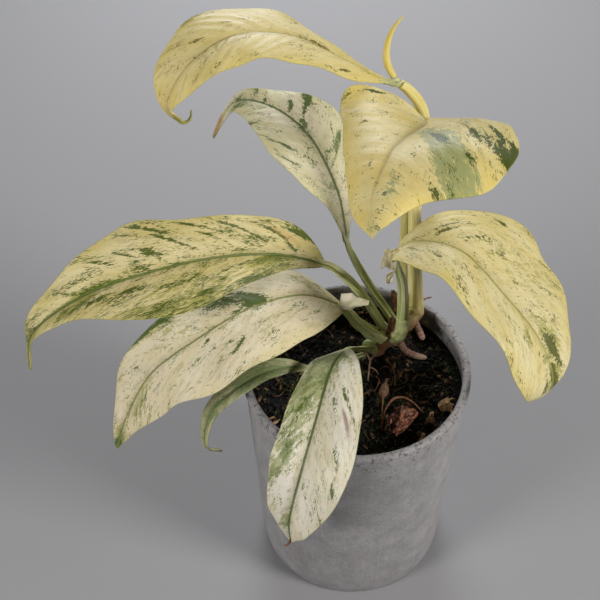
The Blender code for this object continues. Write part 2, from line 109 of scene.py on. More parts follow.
def gridFaces(rows, columns, closed=False):
    # quads between neighbouring rows; closed joins the last column to the first
    i = np.arange(rows - 1)[:, None] * columns
    j = np.arange(columns if closed else columns - 1)[None, :]
    k = (j + 1) % columns
    return np.stack([i + j, i + k, i + columns + k, i + columns + j], axis=-1).reshape(-1, 4)


def putPiece(name, points, faces, material, attributes=None, replaced=()):
    # points in millimetres become a mesh at the origin that rides on the root body
    mesh = bpy.data.meshes.new(name)
    faces = faces.tolist() if isinstance(faces, np.ndarray) else faces
    mesh.from_pydata(np.asarray(points, dtype=float).reshape(-1, 3) * mm, [], faces)
    for key, values in (attributes or {}).items():
        values = np.asarray(values, dtype=np.float32)
        kind, field = {3: ("FLOAT_VECTOR", "vector"), 4: ("FLOAT_COLOR", "color")}[values.shape[-1]]
        mesh.attributes.new(key, kind, "POINT").data.foreach_set(field, values.ravel())
    mesh.shade_smooth()
    mesh.materials.append(material)
    piece = bpy.data.objects.new(name, mesh)
    bpy.context.scene.collection.objects.link(piece)
    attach(piece, "root")
    if replaced:
        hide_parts(*replaced)
    return piece


def tubeGrid(rows, count, sides, shape=None):
    # a ring about each point of the path: point + r (side cos a + up sin a); shape(t, a) swells r.
    # The ring's side stays square to one fixed direction, so the tube does not twist.
    rows = np.asarray(rows, dtype=float)
    t = np.linspace(0, 1, count)
    line = curveAt(rows, t)
    centre, radius = line[:, :3], np.maximum(line[:, 3], 0.05)
    tangent = unit(np.gradient(centre, axis=0))
    side = unit(np.cross(tangent, np.array((0.31, -0.93, 0.17))))
    up = np.cross(side, tangent)
    angle = np.linspace(0, 2 * math.pi, sides, endpoint=False)
    swell = np.ones((count, sides)) if shape is None else shape(t[:, None], angle[None, :])
    r = radius[:, None] * swell
    ring = side[:, None] * np.cos(angle)[None, :, None] + up[:, None] * np.sin(angle)[None, :, None]
    along = np.concatenate([[0], np.cumsum(np.linalg.norm(np.diff(centre, axis=0), axis=1))])
    straight = np.stack([r * np.cos(angle), r * np.sin(angle), np.broadcast_to(along[:, None], r.shape)], axis=-1)
    return centre[:, None] + ring * r[..., None], straight


def closedTube(rows, count, sides, shape=None):
    # the tube's grid with a pole point at each end
    grid, straight = tubeGrid(rows, count, sides, shape)
    points = np.concatenate([grid.reshape(-1, 3), [grid[0].mean(axis=0)], [grid[-1].mean(axis=0)]])
    ends = np.array([[0, 0, straight[0, 0, 2]], [0, 0, straight[-1, 0, 2]]])
    straight = np.concatenate([straight.reshape(-1, 3), ends])
    faces = gridFaces(count, sides, closed=True).tolist()
    last = (count - 1) * sides
    foot, head = count * sides, count * sides + 1
    for j in range(sides):
        k = (j + 1) % sides
        faces.append((k, j, foot))
        faces.append((last + j, last + k, head))
    return points, faces, straight


def joined(parts):
    # several (points, faces, straight) sets as one
    points, faces, extra, start = [], [], [], 0
    for partPoints, partFaces, partExtra in parts:
        points.append(partPoints)
        extra.append(partExtra)
        faces += [tuple(i + start for i in face) for face in partFaces]
        start += len(partPoints)
    return np.concatenate(points), faces, np.concatenate(extra)


def scattered(shapePoints, shapeFaces, places, turns, sizes):
    # copies of one small shape: place + turn (size * point), for all copies and points at once
    points = places[:, None] + np.einsum("nij,nkj->nki", turns, sizes[:, None] * shapePoints[None])
    faces = np.asarray(shapeFaces)[None] + (np.arange(len(places)) * len(shapePoints))[:, None, None]
    return points.reshape(-1, 3), faces.reshape(-1, len(shapeFaces[0])).tolist()


def randomTurns(rng, count, lean):
    # a turn about Z times a tilt about X of up to lean radians
    a, b = rng.uniform(0, 2 * math.pi, count), rng.uniform(-lean, lean, count)
    zero, one = np.zeros(count), np.ones(count)
    turn = np.array([[np.cos(a), -np.sin(a), zero], [np.sin(a), np.cos(a), zero], [zero, zero, one]])
    tilt = np.array([[one, zero, zero], [zero, np.cos(b), -np.sin(b)], [zero, np.sin(b), np.cos(b)]])
    return np.einsum("ijn,jkn->nik", turn, tilt)


# ---- camera and light
view = dict(
    place=(-29.0, -385.0, 609.0),  # mm
    pitch=47.0,  # degrees below level, looking along +Y
    roll=-0.8,
    lens=69.0,  # mm on a 36 mm sensor
)


def makeCamera():
    # the lens looks along (0, cos pitch, -sin pitch), and the image is rolled about it
    pitch, roll = math.radians(view["pitch"]), math.radians(view["roll"])
    forward = Vector((0, math.cos(pitch), -math.sin(pitch)))
    upright, right = Vector((0, math.sin(pitch), math.cos(pitch))), Vector((1, 0, 0))
    side = right * math.cos(roll) + upright * math.sin(roll)
    up = upright * math.cos(roll) - right * math.sin(roll)
    data = bpy.data.cameras.new("photoCamera")
    data.lens, data.sensor_width = view["lens"], 36.0
    data.clip_start, data.clip_end = 0.01, 20.0
    camera = bpy.data.objects.new("photoCamera", data)
    bpy.context.scene.collection.objects.link(camera)
    turn = Matrix((side, up, -forward)).transposed().to_4x4()
    camera.matrix_world = Matrix.Translation(Vector(view["place"]) * mm) @ turn
    bpy.context.scene.camera = camera


studio = dict(
    floor="909195",
    air="dfe2e8", airStrength=0.04,
    lights=(
        # name, place in m, aim in m, size in m, spread in degrees, watts, colour
        ("boxLeft", (-1.10, -0.72, 0.80), (0, 0, 0.12), 0.50, 180, 12.6, "fffaf4"),
        ("boxRight", (1.12, -0.60, 0.79), (0, 0, 0.12), 0.50, 180, 18.4, "fffaf4"),
        ("boxBack", (-0.10, 0.90, 0.62), (0, 0, 0.12), 0.60, 180, 5.4, "ffffff"),
        ("boxFar", (0.10, 1.10, 0.80), (0.05, 0.66, 0), 0.60, 80, 1.0, "ffffff"),
    ),
)


def makeStudio():
    scene = bpy.context.scene
    world = bpy.data.worlds.new("studioAir")
    world.use_nodes = True
    world.node_tree.nodes["Background"].inputs["Color"].default_value = linear(studio["air"])
    world.node_tree.nodes["Background"].inputs["Strength"].default_value = studio["airStrength"]
    scene.world = world
    scene.view_settings.view_transform = "Standard"
    for name, place, aim, size, spread, power, colour in studio["lights"]:
        data = bpy.data.lights.new(name, "AREA")
        data.shape, data.size, data.energy, data.color = "DISK", size, power, linear(colour)[:3]
        data.spread = math.radians(spread)
        lamp = bpy.data.objects.new(name, data)
        scene.collection.objects.link(lamp)
        lamp.location = place
        lamp.rotation_euler = (Vector(aim) - Vector(place)).to_track_quat("-Z", "Y").to_euler()
    # seamless paper, matt and faintly uneven
    material, tree = newMaterial("studioPaper", studio["floor"])
    shader = addNode(tree, "BsdfPrincipled", {"Base Color": linear(studio["floor"]), "Roughness": 0.85})
    addNode(tree, "OutputMaterial", {"Surface": shader})
    mesh = bpy.data.meshes.new("studioFloor")
    half = 3.0
    mesh.from_pydata([(-half, -half, 0), (half, -half, 0), (half, half, 0), (-half, half, 0)], [], [(0, 1, 2, 3)])
    mesh.materials.append(material)
    floor = bpy.data.objects.new("studioFloor", mesh)
    scene.collection.objects.link(floor)


# ---- pot
potLook = dict(
    outer=((0, 0), (47, 0), (50, 0.0), (51.4, 0.6), (52, 2.0), (53, 9.0), (58.4, 137.6), (58.3, 138.4), (57.95, 138.9),
           (57.9, 139.8), (58.2, 140.2)),
    rim=((58.2, 140.2), (59.3, 140.6), (59.9, 141.6), (60, 142.7), (59.7, 143.9), (58.8, 144.8), (57.6, 145.0),
         (56.5, 144.6), (55.8, 143.4), (55.6, 142.0), (55.8, 140.6), (57.0, 138.6)),
    inner=((57.0, 138.6), (50.8, 5.0), (50.2, 3.3), (48.8, 2.6), (45, 2.6), (0, 2.6)),
    sides=192,
    grey="838386", pale="9d9c9e", stain="767070", speck="3c393a", rimGrey="666c70", insideShadeGrey="1e2021",
)


def potMaterial():
    # Recycled polypropylene, injection moulded with a satin grain: matt mottled grey with rubbed stains and
    # drag lines on the wall, a smoother, slightly glossy rolled rim, and painted shade on the inside, whose wall and
    # floor are coloured near-black.
    material, tree = newMaterial("recycledPolypropylene", potLook["grey"])
    place = addNode(tree, "TexCoord").node.outputs["Object"]
    zone = addNode(tree, "Attribute", attribute_name="zone").node.outputs["Vector"]
    zones = addNode(tree, "SeparateXYZ", {0: zone}).node.outputs
    cloud = addNode(tree, "TexNoise", {"Vector": place, "Scale": 95.0, "Detail": 6.0, "Roughness": 0.68})
    blotch = addNode(tree, "TexNoise", {"Vector": place, "Scale": 38.0, "Detail": 4.0, "Roughness": 0.6})
    drag = addNode(tree, "VectorMath", {0: place, 1: (420.0, 420.0, 34.0)}, operation="MULTIPLY")
    drag = addNode(tree, "TexNoise", {"Vector": drag, "Scale": 1.0, "Detail": 3.0, "Roughness": 0.55})
    grain = addNode(tree, "TexNoise", {"Vector": place, "Scale": 900.0, "Detail": 2.0})  # 1.1 mm moulded grain
    dust = addNode(tree, "TexNoise", {"Vector": place, "Scale": 420.0, "Detail": 3.0, "Roughness": 0.7})
    mottle = addNode(tree, "Math", {0: grain, 1: 0.6, 2: cloud}, operation="MULTIPLY_ADD")
    mottle = addNode(tree, "MapRange", {"Value": mottle, "From Min": 0.62, "From Max": 0.98})
    colour = addNode(tree, "Mix", {0: mottle, 6: linear(potLook["grey"]), 7: linear(potLook["pale"])},
                     data_type="RGBA")
    rubbed = addNode(tree, "MapRange", {"Value": blotch, "From Min": 0.50, "From Max": 0.72, "To Max": 0.40})
    colour = addNode(tree, "Mix", {0: rubbed, 6: colour, 7: linear(potLook["stain"])}, data_type="RGBA")
    lines = addNode(tree, "MapRange", {"Value": drag, "From Min": 0.5, "From Max": 0.75, "To Max": 0.16})
    colour = addNode(tree, "Mix", {0: lines, 6: colour, 7: linear("bcb9bb")}, data_type="RGBA")
    # dark specks everywhere, and dirt that gathers in the last 12 mm under the rim
    height = addNode(tree, "SeparateXYZ", {0: place}).node.outputs["Z"]
    under = addNode(tree, "MapRange", {"Value": height, "From Min": 0.122, "From Max": 0.139, "To Max": 0.12})
    dirt = addNode(tree, "Math", {0: dust, 1: under}, operation="ADD")
    dirt = addNode(tree, "MapRange", {"Value": dirt, "From Min": 0.66, "From Max": 0.74, "To Max": 0.8})
    colour = addNode(tree, "Mix", {0: dirt, 6: colour, 7: linear(potLook["speck"])}, data_type="RGBA")
    colour = addNode(tree, "Mix", {0: zones["Y"], 6: colour, 7: linear(potLook["rimGrey"])}, data_type="RGBA")
    # painted shade: the inside wall and floor (zone X) are coloured near-black
    colour = addNode(tree, "Mix", {0: zones["X"], 6: colour, 7: linear(potLook["insideShadeGrey"])}, data_type="RGBA")
    dull = addNode(tree, "MapRange", {"Value": cloud, "From Min": 0.3, "From Max": 0.7, "To Min": 0.52, "To Max": 0.68})
    dull = addNode(tree, "Mix", {0: zones["Y"], 2: dull, 3: 0.27}, data_type="FLOAT")
    dull = addNode(tree, "Mix", {0: zones["X"], 2: dull, 3: 0.38}, data_type="FLOAT")
    rough = addNode(tree, "Math", {0: grain, 1: drag}, operation="ADD")
    bump = addNode(tree, "Bump", {"Height": rough, "Strength": 0.22, "Distance": 0.0003})
    shader = addNode(tree, "BsdfPrincipled", {"Base Color": colour, "Roughness": dull, "IOR": 1.49, "Normal": bump})
    addNode(tree, "OutputMaterial", {"Surface": shader})
    return material


def makePot():
    # a profile (radius, height) turned about Z; the rim part is smoothed by a Catmull-Rom curve
    outer = np.array(potLook["outer"], dtype=float)
    wallSteps = 14  # short rings keep the wall's shading even
    wall = outer[5] + (outer[6] - outer[5]) * np.linspace(0, 1, wallSteps)[:, None]
    outer = np.concatenate([outer[:5], wall, outer[7:]])
    rim = curveAt(potLook["rim"], np.linspace(0, 1, 56))
    inner = np.array(potLook["inner"], dtype=float)
    innerWall = inner[0] + (inner[1] - inner[0]) * np.linspace(0, 1, wallSteps)[:, None]
    inner = np.concatenate([innerWall, inner[2:]])
    profile = np.concatenate([outer[1:], rim[1:-1], inner[:-1]])
    angle = np.linspace(0, 2 * math.pi, potLook["sides"], endpoint=False)
    r, z = profile[:, 0][:, None], profile[:, 1][:, None]
    points = np.stack([r * np.cos(angle), r * np.sin(angle), np.broadcast_to(z, (len(profile), len(angle)))], axis=-1)
    sides = len(angle)
    faces = gridFaces(len(profile), sides, closed=True)[:, ::-1].tolist()
    count = len(profile) * sides
    poles = np.array([[0, 0, 0.0], [0, 0, 2.6]])
    for j in range(sides):
        k = (j + 1) % sides
        faces.append((j, k, count))
        faces.append((count - sides + k, count - sides + j, count + 1))
    # zone X marks the inside wall and floor, which the material colours with painted shade
    isInner = np.arange(len(profile)) >= len(outer) - 1 + len(rim) - 2 - 6
    onRim = (profile[:, 1] > 139.9) & ~isInner
    zone = np.stack([isInner * 1.0, onRim * 1.0, profile[:, 1] / 145], axis=-1)
    zone = np.broadcast_to(zone[:, None], (len(profile), sides, 3)).reshape(-1, 3)
    zone = np.concatenate([zone, [[0, 0, 0], [1, 0, 0]]])
    points = np.concatenate([points.reshape(-1, 3), poles])
    pot = putPiece("potShell", points, faces, potMaterial(), {"zone": zone}, ["pot"])
    cutDrains(pot)
    pot.data.set_sharp_from_angle(angle=math.radians(55))


drains = dict(count=6, radius=4.0, ring=37.0)


def cutDrains(pot):
    # six round holes through the floor, cut by one Boolean that is applied here
    parts = []
    for i in range(drains["count"]):
        turn = 2 * math.pi * (i + 0.5) / drains["count"]
        x, y = drains["ring"] * math.cos(turn), drains["ring"] * math.sin(turn)
        parts.append(closedTube([(x, y, -4, drains["radius"]), (x, y, 0, drains["radius"]),
                                 (x, y, 8, drains["radius"])], 4, 24))
    points, faces, straight = joined(parts)
    mesh = bpy.data.meshes.new("drainCutter")
    mesh.from_pydata(points * mm, [], faces)
    cutter = bpy.data.objects.new("drainCutter", mesh)
    bpy.context.scene.collection.objects.link(cutter)
    cut = pot.modifiers.new("drains", "BOOLEAN")
    cut.operation, cut.solver, cut.object = "DIFFERENCE", "EXACT", cutter
    bpy.context.view_layer.update()
    graph = bpy.context.evaluated_depsgraph_get()
    whole = bpy.data.meshes.new_from_object(pot.evaluated_get(graph))
    pot.modifiers.clear()
    pot.data = whole
    bpy.data.objects.remove(cutter, do_unlink=True)


# ---- leaves
bladeBuild = dict(perSpan=26, stalkSteps=14, halfColumns=34, thickness=0.62, edgeThickness=0.3, ribWidth=1.5,
                  veinSpacing=7.5, quilt=0.16)


leaves = {
    "leaf_a": dict(
        petiole=((17.5, 43.6, 293.3),), sheath=(2.4, 2.1), base=(12, 42, 296), heading=184,
        reach=(0, 21, 43, 68, 89, 100, 95), side=(0, -1, -3, -2, 4, 6, -2), height=(0, 13, 25, 27, 17, -2, -19),
        left=(2, 11, 17, 19, 19, 17, 10, 3, 0.7), right=(2, 6, 14, 19, 22, 23, 15, 6, 0.7),
        roll=(3, -2, -50), fold=(8, 20), curlLeft=(37, 37), curlRight=(35, 23), waves=(5, 1.0)),
    "leaf_b": dict(
        petiole=((25.4, 45.0, 271.6),), sheath=(1.2, 2.0), base=(26, 42, 274), heading=-105,
        reach=(0, 18, 39, 62, 85, 107), side=(0, 8, 7, 0, -3, 1), height=(0, 13, 25, 30, 26, 24),
        left=(2, 20, 33, 42, 51, 48, 38, 16, 0.7), right=(2, 22, 39, 38, 32, 23, 16, 10, 0.7),
        roll=(-17, 8, 30), fold=(40, 0), curlLeft=(30, 55), curlRight=(29, 60), waves=(4, 1.0)),
    "leaf_c": dict(
        petiole=((25.2, 19.6, 151.7), (25.6, 24.4, 163.8), (23.9, 26.4, 180.0)), sheath=(3.8, 3.2),
        base=(20, 26, 198), heading=-40,
        reach=(0, 12, 37, 63, 85, 96, 86), side=(0, -3, -1, -2, -1, -1, 1), height=(0, 22, 29, 17, -1, -25, -49),
        left=(2, 10, 21, 36, 40, 35, 24, 8, 0.7), right=(2, 14, 21, 24, 25, 25, 24, 13, 0.7),
        roll=(24, -9, 13), fold=(25, 6), curlLeft=(22, 34), curlRight=(27, 37), waves=(5, 1.2)),
    "leaf_d": dict(
        petiole=((21.2, 28.4, 147.5), (8.4, 44.6, 159.4), (0.2, 54.8, 170.0)), sheath=(2.8, 2.2),
        base=(-3, 62, 176), heading=150,
        reach=(0, 8, 17, 27, 48, 70, 82), side=(0, -5, -3, 1, -1, -3, 2), height=(0, 24, 49, 68, 73, 65, 41),
        left=(2, 9, 17, 22, 24, 18, 10, 5, 0.7), right=(2, 12, 17, 23, 21, 13, 7, 5, 0.7),
        roll=(5, -9, -37), fold=(17, 14), curlLeft=(31, 38), curlRight=(29, 27), waves=(5, 1.0)),
    "leaf_e": dict(
        petiole=((15.8, 24.8, 145.2), (3.8, 30.0, 166.4), (-7.0, 31.4, 181.0)), sheath=(3.6, 2.4),
        base=(-17, 34, 187), heading=196,
        reach=(0, 28, 60, 92, 123, 150, 157), side=(0, 1, 1, 0, -1, 2, -1), height=(0, 16, 22, 20, 13, -2, -31),
        left=(2, 8, 16, 24, 25, 18, 8, 3, 0.7), right=(2, 17, 21, 22, 26, 19, 11, 4, 0.7),
        roll=(-61, -34, -9), fold=(29, 28), curlLeft=(27, 24), curlRight=(18, 23), waves=(6, 1.2)),
    "leaf_f": dict(
        petiole=((14.7, 18.0, 145.0), (8.0, 18.8, 151.0), (-0.6, 19.0, 159.0)), sheath=(4.2, 3.2),
        base=(-6, 22, 166), heading=199,
        reach=(0, 22, 51, 79, 104, 120, 130), side=(0, -1, 0, 1, 0, 1, 0), height=(0, 17, 19, 8, -9, -34, -63),
        left=(2, 20, 29, 33, 34, 27, 20, 9, 0.7), right=(2, 17, 20, 22, 26, 28, 23, 12, 0.7),
        roll=(-12, 2, -26), fold=(8, 14), curlLeft=(34, 32), curlRight=(35, 30), waves=(5, 1.2)),
    "leaf_g": dict(
        petiole=((5.0, 16.0, 134.6), (-8.0, 8.0, 138.0), (-19.0, 0.0, 145.0)), sheath=(1.8, 1.6),
        base=(-26, -5, 150), heading=196,
        reach=(0, 12, 27, 43, 54, 58, 49), side=(0, 3, 3, 3, 2, 6, 0), height=(0, 8, 7, -3, -19, -38, -54),
        left=(1.5, 3, 4, 5, 5, 4, 3, 2, 0.7), right=(1.5, 4, 6, 7, 6, 5, 3, 2, 0.7),
        roll=(-38, -24, -40), fold=(17, 17), curlLeft=(29, 30), curlRight=(30, 29), waves=(4, 0.5)),
    "leaf_h": dict(
        petiole=((8.6, 14.6, 141.0), (3.6, 12.0, 144.6)), sheath=(2.6, 2.0), base=(-5, 7, 150), heading=-108,
        reach=(0, 26, 55, 77, 87, 84), side=(0, -1, 0, -1, -4, -5), height=(0, 13, 9, -7, -33, -60),
        left=(2, 11, 19, 24, 26, 24, 17, 9, 0.7), right=(2, 10, 14, 16, 17, 17, 14, 9, 0.7),
        roll=(19, 11, 26), fold=(21, 20), curlLeft=(26, 26), curlRight=(28, 29), waves=(5, 0.8)),
}

# Colours and markings of each blade. flecks, speckles and cloud set how readily each kind of green shows, and
# sweep is how far the lateral veins lean to the tip, left and right of the rib. marks are listed one by one as
# (kind, u along the rib, v across, length along the vein, width, strength), lengths in mm.
leafLooks = {
    "leaf_a": dict(
        slot="leaf_yellow", pale="e9dba2", warm="dfcf83", cloudTone="ada152", rib="a89d5c", fleckTone="686228", bruiseAndRibShade="bdaf68",
        ribWidth=(0.2, 0.1), flecks=0.40, speckles=0.42, cloud=0.50, sweep=(0.9, 0.9), marks=(
            ("deep", 0.15, 0.66, 2.0, 1.6, 1.0), ("deep", 0.17, 0.72, 1.2, 1.0, 0.9), ("deep", 0.24, -0.04, 1.3, 7, 0.8),
            ("deep", 0.51, -0.44, 2.2, 1.4, 0.95), ("deep", 0.46, -0.57, 2.0, 1.0, 0.7),
            ("deep", 0.61, -0.33, 1.2, 2.0, 1.0), ("deep", 0.45, 0.87, 1.0, 2.4, 1.0),
            ("deep", 0.35, 0.91, 0.9, 2.2, 0.8), ("soft", 0.69, -0.82, 5, 5, 0.6), ("soft", 0.62, -0.95, 2.5, 14, 0.8),
            ("soft", 0.97, 0.0, 4, 7, 1.4), ("deep", 0.99, 0.0, 3, 4, 0.8), ("soft", 0.52, 0.14, 2.5, 20, 0.6),
            ("soft", 0.30, 0.40, 4, 6, 0.5))),
    "leaf_b": dict(
        slot="leaf_yellow", pale="ebdc9e", warm="e2ce7c", cloudTone="98a26c", rib="dccb84", fleckTone="415318",
        bruiseAndRibShade="d2c27c", dotting=0.05,
        ribWidth=(-0.2, -0.2), flecks=0.36, speckles=0.38, cloud=0.28, sweep=(0.55, 0.1), marks=(
            ("deep", 0.234, -0.72, 5.5, 1.5, 1.0), ("deep", 0.30, -0.98, 3, 3, 0.7), ("soft", 0.41, -0.80, 8, 4, 0.55),
            ("soft", 0.36, -0.60, 9, 3, 0.5), ("deep", 0.47, -0.68, 1.2, 1.2, 0.9), ("deep", 0.68, -0.32, 0.9, 2.0, 0.8),
            ("soft", 0.72, 0.17, 4, 6, 0.95), ("soft", 0.80, 0.24, 4, 6, 0.9), ("deep", 0.723, 0.22, 1.2, 1.3, 1.1),
            ("deep", 0.808, 0.19, 1.3, 1.4, 1.1), ("soft", 0.67, 0.70, 15, 17, 1.35), ("soft", 0.56, 0.44, 10, 9, 1.3), ("soft", 0.47, 0.20, 12, 7, 1.3),
            ("soft", 0.74, 0.92, 8, 12, 1.0), ("soft", 0.65, 0.58, 3, 3.5, -0.5), ("soft", 0.50, 0.36, 3, 2.5, -0.4),
            ("deep", 0.585, 0.69, 4, 2.0, 0.85), ("deep", 0.52, 0.38, 5, 1.6, 0.8), ("deep", 0.81, 0.95, 3.5, 4, 0.75),
            ("deep", 0.455, 0.60, 6, 2.2, 1.0), ("deep", 0.475, 0.73, 7, 2.8, 1.15), ("deep", 0.497, 0.87, 7, 3.4, 1.25),
            ("deep", 0.525, 0.99, 5, 5.0, 1.3), ("deep", 0.41, 0.80, 6, 1.8, 1.0), ("deep", 0.445, 0.92, 5, 2.0, 1.0),
            ("deep", 0.475, 0.99, 4, 2.4, 1.0), ("deep", 0.50, 0.28, 7, 2.0, 0.9), ("soft", 0.46, 0.84, 13, 6, 0.9), ("deep", 0.40, 0.45, 6, 1.2, 0.6),
            ("soft", 0.38, 0.50, 12, 4, 0.8), ("soft", 0.95, 0.0, 3, 4, 0.8))),
    "leaf_c": dict(
        slot="leaf_yellow", pale="dcd2a2", warm="d2c480", cloudTone="a09e4e", rib="9a9a50", fleckTone="535a1c",
        ribWidth=(0.5, 0.3), flecks=0.46, speckles=0.52, cloud=0.58, sweep=(0.9, 0.9), bruiseAndRibShade="b3a467", marks=(
            ("deep", 0.26, 0.36, 5.5, 1.3, 1.0), ("deep", 0.34, 0.32, 4.5, 0.9, 0.95), ("deep", 0.29, 0.82, 1.6, 1.5, 0.9),
            ("deep", 0.52, 0.85, 3.5, 2, 0.75), ("deep", 0.41, 0.80, 2.5, 1, 0.8), ("deep", 0.29, -0.47, 3, 2.6, 0.7),
            ("deep", 0.42, -0.80, 5, 4, 0.5), ("soft", 0.20, -0.47, 3, 3, 0.8), ("soft", 0.63, -0.28, 3, 4, 0.9),
            ("deep", 0.67, 0.14, 4, 8, 0.6), ("soft", 0.66, 0.20, 5, 10, 1.0), ("deep", 0.80, 0.03, 3.5, 11, 1.1), ("deep", 0.72, 0.18, 3, 9, 0.85), ("soft", 0.45, 0.45, 12, 22, 0.40),
            ("deep", 0.36, 0.80, 1.2, 5, 0.7), ("deep", 0.24, 0.44, 3.5, 1.0, 0.8),
            ("soft", 0.80, 0.05, 6, 14, 1.0), ("deep", 0.82, -0.44, 2.5, 3, 0.95), ("deep", 0.93, 0.1, 5, 5, 0.6))),
    "leaf_d": dict(
        slot="leaf_white", pale="ddd7bd", warm="cfcba2", cloudTone="9da274", rib="4a622c", fleckTone="4d612f",
        ribWidth=(1.15, 0.1), flecks=0.57, speckles=0.70, cloud=0.5, sweep=(1.2, 0.35), stainTone="b98a52", marks=(
            ("deep", 0.56, -0.85, 3, 2.6, 0.95), ("deep", 0.54, -0.45, 7, 1.3, 0.85), ("deep", 0.50, -0.10, 2.2, 2.5, 0.9),
            ("deep", 0.59, -0.37, 4.5, 1.4, 0.8), ("soft", 0.33, -0.66, 4.5, 3.8, 1.6), ("deep", 0.33, -0.70, 3.6, 2.6, 0.5),
            ("soft", 0.29, -0.30, 6, 1.2, 1.2), ("deep", 0.69, -0.18, 1.6, 1.2, 0.9), ("deep", 0.51, 0.66, 3.2, 1, 0.95),
            ("deep", 0.44, 0.77, 3.2, 1.1, 1.0), ("deep", 0.47, 0.60, 2.0, 1.2, 0.8), ("soft", 0.80, 0.3, 5, 10, 0.9),
            ("stain", 0.97, 0.0, 8, 11, 1.4), ("deep", 0.80, 0.45, 2, 3, 0.6), ("soft", 0.25, 0.35, 4, 10, 0.6))),
    "leaf_e": dict(
        slot="leaf_cream", pale="d8cea0", warm="c6ba7a", cloudTone="969648", rib="566a2a", fleckTone="475910",
        ribWidth=(0.7, 0.75), flecks=0.62, speckles=0.78, cloud=0.62, sweep=(1.5, 1.2), stainTone="c79a5e", marks=(
            ("deep", 0.46, -0.82, 5, 2.4, 0.9), ("deep", 0.40, -0.51, 6, 1.3, 1.0), ("deep", 0.53, -0.47, 3, 1.5, 0.9),
            ("deep", 0.46, -0.33, 5, 3.5, 0.55), ("deep", 0.17, -0.66, 4, 2.2, 0.95), ("deep", 0.22, -0.54, 4, 1.2, 0.9),
            ("deep", 0.31, -0.51, 5, 1.1, 0.8), ("deep", 0.54, 0.33, 2.4, 9, 0.85), ("deep", 0.63, 0.36, 2, 5, 0.75),
            ("deep", 0.44, 0.37, 2.6, 3, 0.6), ("deep", 0.44, 0.95, 4, 12, 0.5), ("soft", 0.42, 0.86, 8, 32, 0.5),
            ("deep", 0.20, 0.98, 2.2, 9, 0.85), ("soft", 0.17, 0.25, 3, 8, 1.3), ("deep", 0.10, -0.95, 4, 9, 1.0),
            ("stain", 0.135, -0.60, 6, 5, 0.55), ("soft", 0.69, 0.25, 4, 12, 0.9), ("deep", 0.62, -0.05, 1.6, 13, 0.6),
            ("soft", 0.62, -0.06, 2.4, 16, 1.0), ("soft", 0.86, 0.1, 7, 14, 0.8), ("soft", 0.38, 0.55, 14, 60, 0.42), ("deep", 0.50, 0.85, 4, 6, 0.5),
            ("deep", 0.28, 0.92, 4, 7, 0.5), ("deep", 0.37, 0.74, 3, 4, 0.5), ("soft", 0.14, 0.66, 5, 9, 0.7), ("deep", 0.50, -0.10, 2.0, 10, 0.5),
            ("deep", 0.70, -0.35, 3, 2, 0.7), ("deep", 0.36, -0.85, 3.5, 2, 0.8), ("deep", 0.28, -0.80, 3.5, 1.8, 0.7),
            ("deep", 0.60, -0.60, 4, 1.6, 0.8), ("deep", 0.12, -0.35, 3, 1.5, 0.6))),
    "leaf_f": dict(
        slot="leaf_cream", pale="e9e0c6", warm="e0d4ab", cloudTone="a9a866", rib="7f8647", fleckTone="48601c",
        ribWidth=(0.5, 0.55), gloss=0.5, flecks=0.46, speckles=0.50, cloud=0.54, sweep=(0.85, 0.85), stainTone="b7a493", marks=(
            ("deep", 0.36, -0.50, 14, 7.5, 0.95), ("deep", 0.31, -0.20, 5, 3.5, 1.0), ("deep", 0.43, -0.60, 9, 5, 0.75),
            ("deep", 0.35, -0.38, 2.5, 1.6, -0.6), ("deep", 0.38, -0.66, 3, 1.4, -0.6),
            ("deep", 0.35, -0.09, 1.6, 8, 0.7), ("deep", 0.63, -0.95, 4.5, 17, 1.25), ("soft", 0.60, -0.80, 7, 15, 0.7),
            ("deep", 0.48, 0.19, 1.8, 2.2, 1.35), ("deep", 0.41, 0.60, 3.4, 1.7, 1.3), ("deep", 0.39, 0.50, 2.2, 1.0, 0.9),
            ("deep", 0.42, -0.22, 1.6, 0.9, 0.8), ("deep", 0.29, 0.47, 4, 0.9, 0.7), ("deep", 0.74, 0.44, 5, 1.8, 0.6),
            ("soft", 0.76, 0.25, 6, 15, 0.9), ("soft", 0.55, -0.4, 9, 9, 0.5), ("deep", 0.97, 0.0, 5, 6, 0.9), ("soft", 0.93, 0.0, 7, 12, 0.9),
            ("stain", 0.69, -0.18, 4, 6, 0.45), ("soft", 0.30, 0.50, 9, 10, 0.3), ("soft", 0.13, 0.47, 3, 2, 0.9),
            ("deep", 0.13, 0.47, 1.6, 1.2, 0.7), ("soft", 0.14, -0.5, 5, 7, 0.7))),
    "leaf_g": dict(
        slot="leaf_green", pale="b0b196", warm="a0a47c", cloudTone="7a8756", rib="65774a", fleckTone="50653a",
        ribWidth=(0.5, 0.3), flecks=0.40, speckles=0.66, cloud=0.95, sweep=(1.2, 1.2), gloss=0.5, stainTone="cdc6a0", marks=(
            ("soft", 0.30, 0.1, 5, 14, 1.2), ("soft", 0.60, 0.2, 3, 12, 0.8), ("stain", 0.96, 0.0, 5, 11, 1.3),
            ("stain", 0.75, 1.0, 1.2, 14, 0.9), ("stain", 0.45, 1.0, 1.0, 16, 0.6))),
    "leaf_h": dict(
        slot="leaf_white", pale="f0ecdf", warm="dfd8bc", cloudTone="98a266", rib="526c30", fleckTone="566a2a",
        ribWidth=(0.75, 0.55), flecks=0.44, speckles=0.54, cloud=0.64, sweep=(0.9, 0.9), stainTone="9c8278", marks=(
            ("soft", 0.26, -0.50, 11, 22, 1.3), ("soft", 0.52, -0.62, 8, 14, 0.8), ("soft", 0.12, 0.4, 6, 5, 0.8), ("deep", 0.35, -0.60, 8, 5, 0.42), ("deep", 0.46, -0.77, 5, 6, 0.45),
            ("soft", 0.62, -0.75, 6, 8, 0.5), ("deep", 0.33, 0.65, 4, 1.8, 0.95), ("stain", 0.385, 0.66, 3.4, 1.4, 1.0),
            ("deep", 0.39, 0.86, 2, 1.2, 0.8), ("deep", 0.60, 0.77, 1.6, 1.5, 1.0), ("deep", 0.70, 0.75, 4, 3, 0.5),
